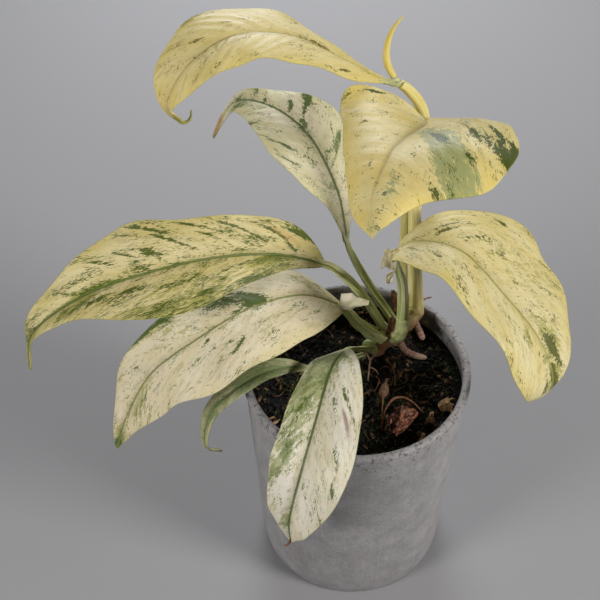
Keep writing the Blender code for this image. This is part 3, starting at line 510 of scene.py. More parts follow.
            ("deep", 0.50, 0.60, 3, 0.9, 0.7), ("soft", 0.81, -0.15, 3, 10, 0.8), ("stain", 0.42, 0.78, 4, 6, 0.4),
            ("soft", 0.10, -0.3, 6, 7, 1.0), ("stain", 0.20, 0.5, 2.5, 2, 0.35))),
}


def bladeSurface(spec, sweep):
    # Each half of a section is an arc that leaves the rib at the fold angle and bends down by the curl:
    # out = w (sin f - sin(f - k s)) / k and lift = -w (cos f - cos(f - k s)) / k, on a Catmull-Rom midrib.
    build = bladeBuild
    turn = math.radians(spec["heading"])
    ahead = np.array((math.cos(turn), math.sin(turn), 0.0))
    left = np.array((-math.sin(turn), math.cos(turn), 0.0))
    midrib = (np.array(spec["base"], dtype=float) + np.outer(spec["reach"], ahead) + np.outer(spec["side"], left)
              + np.outer(spec["height"], (0, 0, 1)))
    path = np.concatenate([np.array(spec["petiole"], dtype=float), midrib])
    spans, stalkSpans = len(path) - 1, len(spec["petiole"])
    stalkTimes = np.linspace(0, stalkSpans, stalkSpans * build["stalkSteps"], endpoint=False)
    bladeTimes = np.linspace(stalkSpans, spans, (spans - stalkSpans) * build["perSpan"] + 1)
    times = np.concatenate([stalkTimes, bladeTimes])
    q = np.clip(times / stalkSpans, 0, 1)
    u = np.clip((times - stalkSpans) / (spans - stalkSpans), 0, 1)
    isStalk = times < stalkSpans
    centre = curveAt(path, times / spans)
    tangent = unit(np.gradient(centre, times, axis=0))
    side = unit(left - (tangent @ left)[:, None] * tangent)
    normal = np.cross(tangent, side)

    def value(key, stalkValue):
        return np.where(isStalk, stalkValue, curveAt(spec[key], u))

    stalkHalf = spec["sheath"][0] + q * (spec["sheath"][1] - spec["sheath"][0])
    stalkHalf = stalkHalf + q ** 6 * (spec["left"][0] - stalkHalf)
    roll = np.radians(value("roll", q * q * spec["roll"][0]))
    fold = value("fold", 48 + q * (spec["fold"][0] - 48))
    halves = [value("left", stalkHalf), value("right", stalkHalf)]
    curls = [value("curlLeft", -20 + q * (spec["curlLeft"][0] + 20)),
             value("curlRight", -20 + q * (spec["curlRight"][0] + 20))]
    rib = np.where(isStalk, 0.45 * stalkHalf + 0.3, 1.5 + u * (0.45 - 1.5))
    wave = np.where((u > 0) & (u < 1), spec["waves"][1] * np.sqrt(np.maximum(np.sin(math.pi * u), 0)), 0)
    sideRolled = side * np.cos(roll)[:, None] + normal * np.sin(roll)[:, None]
    normalRolled = normal * np.cos(roll)[:, None] - side * np.sin(roll)[:, None]

    along = np.concatenate([[0], np.cumsum(np.linalg.norm(np.diff(centre, axis=0), axis=1))])
    along = along - np.interp(stalkSpans, times, along)
    n = build["halfColumns"]
    v = np.sin(np.linspace(-1, 1, 2 * n + 1) * math.pi / 2 * 0.93) / math.sin(math.pi / 2 * 0.93)
    v = 0.6 * v + 0.4 * np.linspace(-1, 1, 2 * n + 1)
    s = np.abs(v)[None, :]
    isLeft = (v >= 0)[None, :]
    sign = np.where(isLeft, 1.0, -1.0)
    half = np.maximum(0.5, np.where(isLeft, halves[0][:, None], halves[1][:, None]))
    calm = np.where(u[:, None] > 0.5, np.minimum(1.0, half / 6.0), 1.0)
    f = np.radians(fold)[:, None] * calm
    k = np.radians(np.where(isLeft, curls[0][:, None], curls[1][:, None])) * calm
    k = np.where(np.abs(k) > 0.001, k, 0.001)
    out = half * (np.sin(f) - np.sin(f - k * s)) / k
    lift = -half * (np.cos(f) - np.cos(f - k * s)) / k
    phase = np.where(isLeft, 0.9, 2.6)
    lift = lift + wave[:, None] * s ** 2 * np.sin(2 * math.pi * spec["waves"][0] * u[:, None] + phase)
    slope = f - k * s
    vein = along[:, None] - np.where(isLeft, *sweep) * half * (0.75 * s + 0.7 * s ** 2)
    # the tissue swells between the lateral veins, least at the rib, the margin and both ends
    window = (np.sin(math.pi * np.clip(s * 1.02, 0, 1)) ** 0.7) * np.sin(math.pi * u)[:, None] ** 0.5
    window = window * np.clip(half / 12, 0, 1)
    swell = build["quilt"] * np.cos(2 * math.pi * vein / build["veinSpacing"])
    swell = swell + 0.5 * softNoise(along[:, None] / 13 + 7 * sign, sign * s * half / 10, 21)
    lift = lift + window * swell - np.where(isStalk[:, None], 0, 0.35) * np.exp(-(s * half / 0.8) ** 2)
    up = normalRolled[:, None] * np.cos(slope)[..., None] - sideRolled[:, None] * (sign * np.sin(slope))[..., None]
    upper = centre[:, None] + sideRolled[:, None] * (sign * out)[..., None] + normalRolled[:, None] * lift[..., None]
    thick = build["edgeThickness"] + (build["thickness"] - build["edgeThickness"]) * (1 - s ** 6)
    deep = thick + rib[:, None] * np.exp(-(s * half / np.maximum(build["ribWidth"], 0.62 * stalkHalf[:, None]
                                                                * isStalk[:, None])) ** 2)
    under = upper - up * deep[..., None]
    edge = (1 - s) * half
    across = sign * s * half
    facts = dict(u=u[:, None] + 0 * s, v=v[None, :] + 0 * u[:, None], vein=vein, across=across, edge=edge,
                 stalk=np.clip(1.0 - along[:, None] / 5.0, 0, 1) + 0 * s, along=along, times=times)
    return upper, under, facts


def markField(spec, look, facts, kind):
    # each mark is a soft-edged spot exp(-(d^2)^2), d being the distance in mark sizes along and across the vein
    field = np.zeros_like(facts["vein"])
    u1 = facts["u"][:, 0]
    for name, u0, v0, length, width, strength in look["marks"]:
        if name != kind:
            continue
        half0 = float(curveAt(spec["left" if v0 >= 0 else "right"], np.array([u0]))[0])
        along0 = np.interp(u0, u1, facts["along"])
        vein0 = along0 - look["sweep"][0 if v0 >= 0 else 1] * half0 * (0.75 * abs(v0) + 0.7 * v0 * v0)
        d2 = ((facts["vein"] - vein0) / width) ** 2 + ((facts["across"] - v0 * half0) / length) ** 2
        field = field + strength * np.exp(-np.minimum(d2, 9) ** 1.5)
    return np.clip(field, -1.5, 1.5)


def leafMaterial(name, look, seed, bladeLength):
    # Living leaf blade under a waxy cuticle: pale tissue lets light through and glows softly, green flecks and
    # clouds lie along the lateral veins, and the sheen breaks on the veins' low relief.
    material, tree = newMaterial(name, look["pale"])
    vein = addNode(tree, "Attribute", attribute_name="vein").node.outputs["Vector"]
    parts = addNode(tree, "SeparateXYZ", {0: vein}).node.outputs
    marks = addNode(tree, "Attribute", attribute_name="marks")
    spots = addNode(tree, "SeparateColor", {0: marks}).node.outputs
    stalk = marks.node.outputs["Alpha"]

    # the lean of the veins draws every pattern out along them, so it is undone for the middle of each half
    drawn = math.hypot(1.0, 0.72 * sum(look["sweep"]))

    def pattern(width, length, shift, detail=3.0, rough=0.6):
        # noise width mm across the veins and length mm along them
        flat = addNode(tree, "VectorMath", {0: vein, 1: (1 / width / drawn, drawn / length, 0.0),
                                            2: (seed + shift, shift, 0.0)}, operation="MULTIPLY_ADD")
        return addNode(tree, "TexNoise", {"Vector": flat, "Scale": 1.0, "Detail": detail, "Roughness": rough},
                       noise_dimensions="2D")

    def layer(value, low, high, under, tone, most=1.0):
        amount = addNode(tree, "MapRange", {"Value": value, "From Min": low, "From Max": high, "To Max": most},
                         interpolation_type="SMOOTHSTEP")
        return addNode(tree, "Mix", {0: amount, 6: under, 7: tone}, data_type="RGBA")

    # cream to yellow, warmer towards the margin
    broad = pattern(16, 30, 3.1, 3.0)
    rimWarm = addNode(tree, "MapRange", {"Value": parts["Z"], "From Min": 9.0, "From Max": 0.0, "To Max": 0.22})
    broad = addNode(tree, "Math", {0: broad, 1: rimWarm}, operation="ADD")
    colour = layer(broad, 0.30, 0.85, linear(look["pale"]), linear(look["warm"]))
    # faint tan bruises, and painted shade in the valley beside the rib, in the same tan
    bruiseAndRibShade = pattern(4.5, 6.5, 5.9, 5.0, 0.72)
    colour = layer(bruiseAndRibShade, 0.50, 0.68, colour, linear(look.get("bruiseAndRibShade", "b0a478")), 0.42)
    middle = addNode(tree, "Math", {0: parts["Y"]}, operation="ABSOLUTE")
    # painted shade: every blade turns darker tan within 5 mm of the rib, along the fold's valley
    colour = layer(middle, 5.0, 0.4, colour, linear(look.get("bruiseAndRibShade", "b0a478")), 0.32)
    # soft green cloud under the surface
    cloud = pattern(2.3, 4.6, 8.7, 5.0, 0.75)
    cloudSum = addNode(tree, "Math", {0: spots["Green"], 1: 0.25, 2: cloud}, operation="MULTIPLY_ADD")
    edgeCloud = 0.80 - 0.25 * look["cloud"]
    colour = layer(cloudSum, edgeCloud - 0.07, edgeCloud + 0.09, colour, linear(look["cloudTone"]), 0.85)
    # fine dots and dashes, in groups
    group = pattern(6.5, 10, 12.3, 3.0)
    speck = pattern(0.8, 1.1, 17.9, 3.0, 0.7)
    speckSum = addNode(tree, "Math", {0: group, 1: 1.0, 2: speck}, operation="MULTIPLY_ADD")
    speckSum = addNode(tree, "Math", {0: spots["Green"], 1: look.get("dotting", 0.17), 2: speckSum},
                       operation="MULTIPLY_ADD")
    edgeSpeck = 1.35 - 0.26 * look["speckles"]
    colour = layer(speckSum, edgeSpeck - 0.04, edgeSpeck + 0.06, colour, linear(look["fleckTone"]), 0.62)
    # crisp flecks and sectors: marks add to coarse and fine noise, which breaks them into clusters
    fleck = pattern(1.7, 2.6, 23.5, 4.0, 0.68)
    fleckSum = addNode(tree, "Math", {0: group, 1: 0.80, 2: speck}, operation="MULTIPLY_ADD")
    fleckSum = addNode(tree, "Math", {0: fleck, 1: 1.0, 2: fleckSum}, operation="MULTIPLY_ADD")
    fleckSum = addNode(tree, "Math", {0: spots["Red"], 1: 0.46, 2: fleckSum}, operation="MULTIPLY_ADD")
    edgeFleck = 1.82 - 0.40 * look["flecks"]
    colour = layer(fleckSum, edgeFleck - 0.03, edgeFleck + 0.05, colour, linear(look["fleckTone"]), 0.95)
    colour = layer(spots["Blue"], 0.15, 0.9, colour, linear(look.get("stainTone", "a58c72")), 0.75)
    # the midrib is a line that narrows to the tip, and the margin a hair of darker, tougher tissue
    wander = addNode(tree, "Math", {0: fleck, 1: -0.9, 2: middle}, operation="MULTIPLY_ADD")
    ribHalf = addNode(tree, "MapRange", {"Value": parts["X"], "From Max": bladeLength, "To Min": look["ribWidth"][0],
                                         "To Max": look["ribWidth"][1]})
    wander = addNode(tree, "Math", {0: wander, 1: ribHalf}, operation="SUBTRACT")
    colour = layer(wander, -0.15, -0.55, colour, linear(look["rib"]), 0.85)
    colour = layer(parts["Z"], 0.5, 0.1, colour, linear(look["cloudTone"]), 0.45)
    # petiole: green with cream stripes along it
    stripes = addNode(tree, "VectorMath", {0: vein, 1: (0.02, 1.15, 0.0), 2: (seed, 4.0, 0.0)},
                      operation="MULTIPLY_ADD")
    stripes = addNode(tree, "TexNoise", {"Vector": stripes, "Scale": 1.0, "Detail": 3.0, "Roughness": 0.6},
                      noise_dimensions="2D")
    striped = layer(stripes, 0.42, 0.58, linear(look.get("stalkGreen", "a5b06c")),
                    linear(look.get("stalkPale", "d8daac")))
    colour = addNode(tree, "Mix", {0: stalk, 6: colour, 7: striped}, data_type="RGBA")
    # relief: lateral veins every 2.5 mm between the main ones, and leaf cells
    wave = addNode(tree, "Math", {0: parts["X"], 1: 2 * math.pi / 2.5}, operation="MULTIPLY")
    wave = addNode(tree, "Math", {0: wave}, operation="SINE")
    cells = pattern(0.5, 0.7, 31.0, 2.0)
    height = addNode(tree, "Math", {0: wave, 1: 0.22, 2: cells}, operation="MULTIPLY_ADD")
    bump = addNode(tree, "Bump", {"Height": height, "Strength": 0.28, "Distance": 0.00025})
    sheen = addNode(tree, "MapRange", {"Value": cloud, "From Min": 0.3, "From Max": 0.7,
                                       "To Min": look.get("gloss", 0.40), "To Max": look.get("gloss", 0.40) + 0.12})
    shader = addNode(tree, "BsdfPrincipled", {
        "Base Color": colour, "Roughness": sheen, "IOR": 1.42, "Normal": bump,
        "Subsurface Weight": 0.22, "Subsurface Radius": (1.0, 0.8, 0.35), "Subsurface Scale": 0.0012})
    addNode(tree, "OutputMaterial", {"Surface": shader})
    return material


def makeLeaf(name, spec, look, seed):
    upper, under, facts = bladeSurface(spec, look["sweep"])
    rows, columns = upper.shape[:2]
    ring = np.concatenate([upper, under[:, ::-1]], axis=1)
    faces = gridFaces(rows, 2 * columns, closed=True)
    caps = []
    for j in range(columns - 1):
        a, b = j, j + 1
        caps.append((b, a, 2 * columns - 1 - a, 2 * columns - 1 - b))
        start = (rows - 1) * 2 * columns
        caps.append((start + a, start + b, start + 2 * columns - 1 - b, start + 2 * columns - 1 - a))

    def wrapped(grid):
        return np.concatenate([grid, grid[:, ::-1]], axis=1)

    vein = np.stack([wrapped(facts["vein"]), wrapped(facts["across"]), wrapped(facts["edge"])], axis=-1)
    marks = np.stack([wrapped(markField(spec, look, facts, kind)) for kind in ("deep", "soft", "stain")]
                     + [wrapped(facts["stalk"])], axis=-1)
    material = leafMaterial(look["slot"] + "_" + name[-1] + "_tissue", look, seed, float(facts["along"][-1]))
    return putPiece(name + "_blade", ring.reshape(-1, 3), faces[:, ::-1].tolist() + caps, material,
                    {"vein": vein.reshape(-1, 3), "marks": marks.reshape(-1, 4)}, [name])


# ---- stem, roots and new leaf
stemBuild = dict(
    path=((12.0, 21.6, 118.0, 4.5), (12.2, 21.8, 131.5, 4.6), (15.0, 21.8, 138.5, 4.6), (20.8, 22.6, 142.6, 4.5),
          (27.1, 26.2, 147.4, 4.4), (32.4, 31.4, 151.6, 4.4), (33.4, 34.8, 159.0, 3.8), (31.2, 38.0, 184.7, 3.4),
          (29.0, 40.2, 222.0, 3.3), (29.4, 43.2, 250.0, 3.2), (30.4, 46.3, 269.0, 3.1), (27.6, 46.0, 280.0, 2.8),
          (22.0, 45.0, 288.5, 2.5), (18.2, 44.0, 292.4, 2.2)),
    rootFront=((23.4, 21.8, 141.5, 1.9), (27.4, 16.4, 137.6, 1.85), (32.8, 14.4, 135.6, 1.8), (39.0, 13.6, 134.4, 1.2)),
    rootBack=((31.6, 30.0, 149.0, 1.9), (34.4, 25.0, 145.4, 1.85), (37.2, 20.8, 141.0, 1.5)),
    bud=dict(place=(8.8, 19.6, 137.4), size=(4.0, 4.0, 5.2), lean=-50.0),
    spike=((15.0, 46.0, 295.2, 1.6), (12.0, 46.2, 302.0, 1.75), (11.2, 45.0, 311.0, 1.5), (13.0, 44.0, 321.0, 1.0),
           (17.0, 43.0, 328.6, 0.45)),
)


def stalkMaterial(name, green, pale, brown, brownBelow, brownAbove, gloss=0.42):
    # Young green stem under a thin waxy skin: fine lengthwise fibres, paler and darker ribs, and a brown,
    # corky tint that fades out between two heights.
    material, tree = newMaterial(name, green)
    place = addNode(tree, "TexCoord").node.outputs["Object"]
    straight = addNode(tree, "Attribute", attribute_name="straight").node.outputs["Vector"]
    long = addNode(tree, "VectorMath", {0: straight, 1: (0.9, 0.9, 0.03)}, operation="MULTIPLY")
    fibre = addNode(tree, "TexNoise", {"Vector": long, "Scale": 1.0, "Detail": 4.0, "Roughness": 0.6})
    blot = addNode(tree, "TexNoise", {"Vector": place, "Scale": 260.0, "Detail": 4.0, "Roughness": 0.65})
    amount = addNode(tree, "MapRange", {"Value": fibre, "From Min": 0.4, "From Max": 0.62})
    colour = addNode(tree, "Mix", {0: amount, 6: linear(green), 7: linear(pale)}, data_type="RGBA")
    height = addNode(tree, "SeparateXYZ", {0: place}).node.outputs["Z"]
    tint = addNode(tree, "MapRange", {"Value": height, "From Min": brownAbove * mm, "From Max": brownBelow * mm})
    tint = addNode(tree, "Math", {0: blot, 1: 1.2, 2: tint}, operation="MULTIPLY_ADD")
    tint = addNode(tree, "MapRange", {"Value": tint, "From Min": 0.85, "From Max": 1.45, "To Max": 0.92})
    colour = addNode(tree, "Mix", {0: tint, 6: colour, 7: linear(brown)}, data_type="RGBA")
    rough = addNode(tree, "Math", {0: fibre, 1: blot}, operation="ADD")
    bump = addNode(tree, "Bump", {"Height": rough, "Strength": 0.35, "Distance": 0.0004})
    shader = addNode(tree, "BsdfPrincipled", {
        "Base Color": colour, "Roughness": gloss, "IOR": 1.42, "Normal": bump,
        "Subsurface Weight": 0.15, "Subsurface Radius": (1.0, 0.8, 0.35), "Subsurface Scale": 0.0015})
    addNode(tree, "OutputMaterial", {"Surface": shader})
    return material


def rootMaterial():
    # Aerial root: a corky skin, pinkish brown, ringed across, bleaching to a pale soft tip.
    material, tree = newMaterial("corkyRootSkin", "a58474")
    straight = addNode(tree, "Attribute", attribute_name="straight").node.outputs["Vector"]
    far = addNode(tree, "SeparateXYZ", {0: straight}).node.outputs["Z"]
    ringed = addNode(tree, "VectorMath", {0: straight, 1: (0.22, 0.22, 1.5)}, operation="MULTIPLY")
    rings = addNode(tree, "TexNoise", {"Vector": ringed, "Scale": 1.0, "Detail": 3.0, "Roughness": 0.6})
    amount = addNode(tree, "MapRange", {"Value": rings, "From Min": 0.38, "From Max": 0.62})
    colour = addNode(tree, "Mix", {0: amount, 6: linear("8a6457"), 7: linear("c09f90")}, data_type="RGBA")
    tip = addNode(tree, "MapRange", {"Value": far, "From Min": 12.5, "From Max": 17.0, "To Max": 0.5})
    colour = addNode(tree, "Mix", {0: tip, 6: colour, 7: linear("cbb9a0")}, data_type="RGBA")
    bump = addNode(tree, "Bump", {"Height": rings, "Strength": 0.5, "Distance": 0.0005})
    shader = addNode(tree, "BsdfPrincipled", {
        "Base Color": colour, "Roughness": 0.62, "IOR": 1.4, "Normal": bump,
        "Subsurface Weight": 0.15, "Subsurface Radius": (1.0, 0.6, 0.4), "Subsurface Scale": 0.001})
    addNode(tree, "OutputMaterial", {"Surface": shader})
    return material


def makeStem():
    skin = stalkMaterial("youngStemSkin", "d3c77a", "eee2a6", "94694f", 147.0, 161.0)

    def stemShape(t, a):
        # low ribs all the way up, a swollen node with a scar ridge at the bend
        node = 0.16 * np.exp(-((t - 0.395) / 0.018) ** 2) + 0.10 * np.exp(-((t - 0.44) / 0.010) ** 2)
        lower = 0.06 * np.exp(-((t - 0.23) / 0.02) ** 2) + 0.06 * np.exp(-((t - 0.31) / 0.014) ** 2)
        return 1 + 0.025 * np.cos(5 * a + 3 * t) + 0.012 * np.cos(11 * a) + node + lower

    points, faces, straight = closedTube(stemBuild["path"], 240, 36, stemShape)
    putPiece("stem_skin", points, faces, skin, {"straight": straight}, ["stem"])

    def rootShape(t, a):
        # rings across, every 0.9 mm or so, and a blunt rounded tip
        ring = 0.035 * np.sin(95 * t + 0.8 * np.sin(a)) + 0.05 * softNoise(t * 9 + 0 * a, a + 0 * t, 5)
        return (1 + ring) * np.sqrt(np.clip(1 - ((t - 0.86) / 0.14).clip(0, 1) ** 2, 0.02, 1))

    roots = [closedTube(stemBuild[key], 60, 18, rootShape) for key in ("rootFront", "rootBack")]
    points, faces, straight = joined(roots)
    putPiece("aerial_roots", points, faces, rootMaterial(), {"straight": straight}, ["stem"])

    bud = stemBuild["bud"]
    # a bud is a ball stretched to a point: radius sin(b)^0.9, with two overlapping scales' edges as grooves
    b, a = np.meshgrid(np.linspace(0.02, math.pi - 0.02, 40), np.linspace(0, 2 * math.pi, 48, endpoint=False),
                       indexing="ij")
    groove = 1 - 0.07 * np.exp(-((a - 2.2 - 0.6 * np.cos(b)) / 0.16) ** 2)
    ball = np.stack([np.sin(b) * np.cos(a) * groove, np.sin(b) * np.sin(a) * groove, np.cos(b)], axis=-1)
    turn = math.radians(bud["lean"])
    lean = np.array([[math.cos(turn), 0, math.sin(turn)], [0, 1, 0], [-math.sin(turn), 0, math.cos(turn)]])
    points = (ball * np.array(bud["size"])) @ lean.T + np.array(bud["place"])
    faces = gridFaces(40, 48, closed=True).tolist() + [tuple(range(47, -1, -1)), tuple(range(39 * 48, 40 * 48))]
    straight = np.stack([4 * np.cos(a), 4 * np.sin(a), 5 * b], axis=-1)
    putPiece("stem_bud", points, [face[::-1] for face in faces],
             stalkMaterial("budScaleSkin", "869749", "bcc48c", "6b4a33", 134.0, 136.0),
             {"straight": straight.reshape(-1, 3)}, ["stem"])


def makeSpike():
    def rolled(t, a):
        # a rolled blade: the radius grows slowly round the spike and steps back at the free margin
        step = ((a + 0.9 + 1.2 * t) % (2 * math.pi)) / (2 * math.pi)
        return 0.90 + 0.2 * step * np.sin(math.pi * np.clip(t, 0.02, 1)) ** 0.4

    points, faces, straight = closedTube(stemBuild["spike"], 90, 40, rolled)
    skin = stalkMaterial("rolledYoungLeaf", "d3bf62", "e0d288", "c9b25a", 200.0, 201.0, 0.38)
    putPiece("new_leaf_roll", points, faces, skin, {"straight": straight}, ["new_leaf"])


# ---- soil and what lies on it
soilBuild = dict(top=131.0, bump=0.9, wallRadius=56.4, seed=7)


def soilHeight(x, y):
    # a few crossed waves on the level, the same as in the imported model
    wave = np.sin(0.17 * x + 0.4) * np.cos(0.15 * y - 0.8) + 0.6 * np.sin(0.24 * x - 0.18 * y + 1.1)
    return soilBuild["top"] + soilBuild["bump"] * (wave + 0.5 * np.cos(0.20 * x + 0.25 * y))


def groundHeight(x, y):
    # the waves with crumbs of 7, 3.5 and 1.7 mm on them, calm at the wall
    crumbs = 1.1 * roughNoise(x / 7.0, y / 7.0, 31, 5)
    calm = np.clip((soilBuild["wallRadius"] - np.hypot(x, y)) / 4, 0, 1)
    return soilBuild["top"] + calm * (soilHeight(x, y) - soilBuild["top"] + crumbs)


def soilMaterial():
    # Peat and bark potting mix, moist: near-black with brown fibres and green moss in the hollows.
    material, tree = newMaterial("moistPottingMix", "221c15")
    place = addNode(tree, "TexCoord").node.outputs["Object"]
    crumb = addNode(tree, "TexNoise", {"Vector": place, "Scale": 520.0, "Detail": 6.0, "Roughness": 0.72})
    patch = addNode(tree, "TexNoise", {"Vector": place, "Scale": 75.0, "Detail": 3.0, "Roughness": 0.6})
    brown = addNode(tree, "MapRange", {"Value": crumb, "From Min": 0.5, "From Max": 0.72})
    colour = addNode(tree, "Mix", {0: brown, 6: linear("040303"), 7: linear("17110b")}, data_type="RGBA")
    moss = addNode(tree, "Math", {0: crumb, 1: 0.45, 2: patch}, operation="MULTIPLY_ADD")
    moss = addNode(tree, "MapRange", {"Value": moss, "From Min": 0.74, "From Max": 0.84, "To Max": 0.7})
    colour = addNode(tree, "Mix", {0: moss, 6: colour, 7: linear("1d2811")}, data_type="RGBA")
    wet = addNode(tree, "MapRange", {"Value": crumb, "From Min": 0.35, "From Max": 0.65, "To Min": 0.55, "To Max": 0.95})
    bump = addNode(tree, "Bump", {"Height": crumb, "Strength": 0.9, "Distance": 0.0012})
    shader = addNode(tree, "BsdfPrincipled", {"Base Color": colour, "Roughness": wet, "Normal": bump,
                                              "Specular IOR Level": 0.15})
    addNode(tree, "OutputMaterial", {"Surface": shader})
    return material


def dryMaterial(name, dark, light, gloss=0.75, scale=420.0):
    # Dry plant matter, such as bark, fibre or a dead leaf: matt and wrinkled, with painted shade, its grain darker
    # where the same grain's bump sinks into folds.
    material, tree = newMaterial(name, light)
    place = addNode(tree, "TexCoord").node.outputs["Object"]
    grain = addNode(tree, "TexNoise", {"Vector": place, "Scale": scale, "Detail": 5.0, "Roughness": 0.68})
    # partly painted shade: the dark end falls where the bump below is lowest, over the grain's own tone
    amount = addNode(tree, "MapRange", {"Value": grain, "From Min": 0.38, "From Max": 0.64})
    colour = addNode(tree, "Mix", {0: amount, 6: linear(dark), 7: linear(light)}, data_type="RGBA")
    bump = addNode(tree, "Bump", {"Height": grain, "Strength": 0.7, "Distance": 0.0006})
    shader = addNode(tree, "BsdfPrincipled", {"Base Color": colour, "Roughness": gloss, "Normal": bump})
    addNode(tree, "OutputMaterial", {"Surface": shader})
    return material


def makeSoil():
    # rings r and angles a: the top follows groundHeight, and the side goes down inside the wall
    sides, rings = 300, 130
    a = np.linspace(0, 2 * math.pi, sides, endpoint=False)
    r = soilBuild["wallRadius"] * np.linspace(0.004, 1, rings) ** 0.8
    x, y = r[:, None] * np.cos(a), r[:, None] * np.sin(a)
    top = np.stack([x, y, groundHeight(x, y)], axis=-1)
    skirt = []
    for radius, z in ((56.2, 129.0), (54.4, 90.0), (52.6, 50.0), (50.4, 5.4), (48.4, 2.9)):
        skirt.append(np.stack([radius * np.cos(a), radius * np.sin(a), np.full(sides, z)], axis=-1)[None])
    grid = np.concatenate([top] + skirt)
    faces = gridFaces(len(grid), sides, closed=True).tolist()
    faces += [tuple(range(sides - 1, -1, -1)), tuple(range((len(grid) - 1) * sides, len(grid) * sides))]
    putPiece("potting_mix", grid.reshape(-1, 3), [face[::-1] for face in faces], soilMaterial(),
             None, ["soil"])


def groundPlaces(rng, count, reach=54.0, clear=()):
    # even random places on the disc: radius reach sqrt(random), less those in the clear circles
    radius, a = reach * np.sqrt(rng.random(count * 2)), rng.uniform(0, 2 * math.pi, count * 2)
    x, y = radius * np.cos(a), radius * np.sin(a)
    keep = np.ones(len(x), dtype=bool)
    for cx, cy, cr in clear:
        keep &= np.hypot(x - cx, y - cy) > cr
    x, y = x[keep][:count], y[keep][:count]
    return np.stack([x, y, groundHeight(x, y)], axis=-1)


def lumpShape(seed):
    # an eight-cornered lump, twelve triangles: a cube whose corners are pulled in unevenly
    corners = np.array([(i, j, k) for i in (-1, 1) for j in (-1, 1) for k in (-1, 1)], dtype=float)
    corners = corners * np.random.default_rng(seed).uniform(0.55, 1.05, corners.shape)
    quads = [(0, 1, 3, 2), (4, 6, 7, 5), (0, 4, 5, 1), (2, 3, 7, 6), (0, 2, 6, 4), (1, 5, 7, 3)]
    faces = [tri for a, b, c, d in quads for tri in ((a, b, c), (a, c, d))]
    return corners, faces


def makeLitter():
    rng = np.random.default_rng(soilBuild["seed"])
    crown = [(14, 20, 6)]
    # crumbs of peat
    places = groundPlaces(rng, 2600)
    sizes = rng.uniform(0.25, 0.95, (len(places), 1)) * rng.uniform(0.7, 1.3, (len(places), 3))
    corners, lump = lumpShape(3)
    points, faces = scattered(corners, lump, places + (0, 0, 0.1), randomTurns(rng, len(places), 1.2), sizes)
    putPiece("peat_crumbs", points, faces, dryMaterial("darkPeat", "050403", "1b130c", 0.9))
    # bark bits, flat and split
    places = groundPlaces(rng, 150, 53, crown)
    sizes = np.stack([rng.uniform(0.8, 2.6, len(places)), rng.uniform(0.4, 1.1, len(places)),
                      rng.uniform(0.2, 0.6, len(places))], axis=-1)
    corners, lump = lumpShape(5)
    points, faces = scattered(corners, lump, places + (0, 0, 0.35), randomTurns(rng, len(places), 0.7), sizes)
    putPiece("bark_bits", points, faces, dryMaterial("pineBark", "3a2616", "94704c", 0.85))
    # fibres: thin three-sided threads bent over the surface
    threads = []
    starts = groundPlaces(rng, 190, 52)
    for x, y, z in starts:
        a, length, hump = rng.uniform(0, 2 * math.pi), rng.uniform(3, 10), rng.uniform(0.2, 1.6)
        t = np.linspace(0, 1, 4)
        bend = rng.uniform(-2, 2)
        px = x + length * t * math.cos(a) - bend * np.sin(math.pi * t) * math.sin(a)
        py = y + length * t * math.sin(a) + bend * np.sin(math.pi * t) * math.cos(a)
        far = np.hypot(px, py)
        px, py = px * np.minimum(1, 54 / far), py * np.minimum(1, 54 / far)
        pz = groundHeight(px, py) + 0.15 + hump * np.sin(math.pi * t)
        rows = np.stack([px, py, pz, np.full(4, rng.uniform(0.10, 0.24))], axis=-1)
        threads.append(closedTube(rows, 7, 4))
    points, faces, straight = joined(threads)
    putPiece("root_fibres", points, faces, dryMaterial("dryFibre", "3a2818", "8c6a4a", 0.85))
    # moss: tufts of bent two-sided blades that lean out from each tuft's middle
    tufts = groundPlaces(rng, 620, 54, crown)
    density = roughNoise(tufts[:, 0] / 13, tufts[:, 1] / 13, 77, 2)
    tufts = tufts[density > 0.0]
    blades = np.repeat(tufts, 9, axis=0)
    count = len(blades)
    a, lean = rng.uniform(0, 2 * math.pi, count), rng.uniform(0.1, 1.1, count)
    height, width = rng.uniform(0.6, 1.9, count), rng.uniform(0.12, 0.26, count)
    foot = blades + np.stack([rng.normal(0, 0.5, count), rng.normal(0, 0.5, count), np.full(count, -0.2)], axis=-1)
    out = np.stack([np.cos(a), np.sin(a), np.zeros(count)], axis=-1)
    sideways = np.stack([-np.sin(a), np.cos(a), np.zeros(count)], axis=-1) * width[:, None]
    rise = np.array((0, 0, 1.0))
    middle = foot + (0.45 * height * np.sin(lean))[:, None] * out + (0.55 * height * np.cos(lean * 0.5))[:, None] * rise
    tip = foot + (height * np.sin(lean))[:, None] * out + (height * np.cos(lean))[:, None] * rise
    points = np.stack([foot - sideways, foot + sideways, middle + sideways, middle - sideways, tip], axis=1)
    base = (np.arange(count) * 5)[:, None]
    faces = (base + np.array([0, 1, 2, 3])).tolist() + (base + np.array([3, 2, 4])).tolist()
    putPiece("moss_tufts", points.reshape(-1, 3), faces, mossMaterial())


def mossMaterial():
    # Cushion moss: moist, fresh green blades with darker, older ones below.
    material, tree = newMaterial("cushionMoss", "4a5a22")
    place = addNode(tree, "TexCoord").node.outputs["Object"]
    tone = addNode(tree, "TexNoise", {"Vector": place, "Scale": 240.0, "Detail": 2.0})
    amount = addNode(tree, "MapRange", {"Value": tone, "From Min": 0.35, "From Max": 0.65})
    colour = addNode(tree, "Mix", {0: amount, 6: linear("1c280f"), 7: linear("66793a")}, data_type="RGBA")
    shader = addNode(tree, "BsdfPrincipled", {"Base Color": colour, "Roughness": 0.6})
    addNode(tree, "OutputMaterial", {"Surface": shader})
    return material


dryBuild = dict(driedLeaf=(22.6, -30.5), driedTurn=46.0, husk=(14.6, -7.6), sheath=(24.6, 32.4, 150.6))


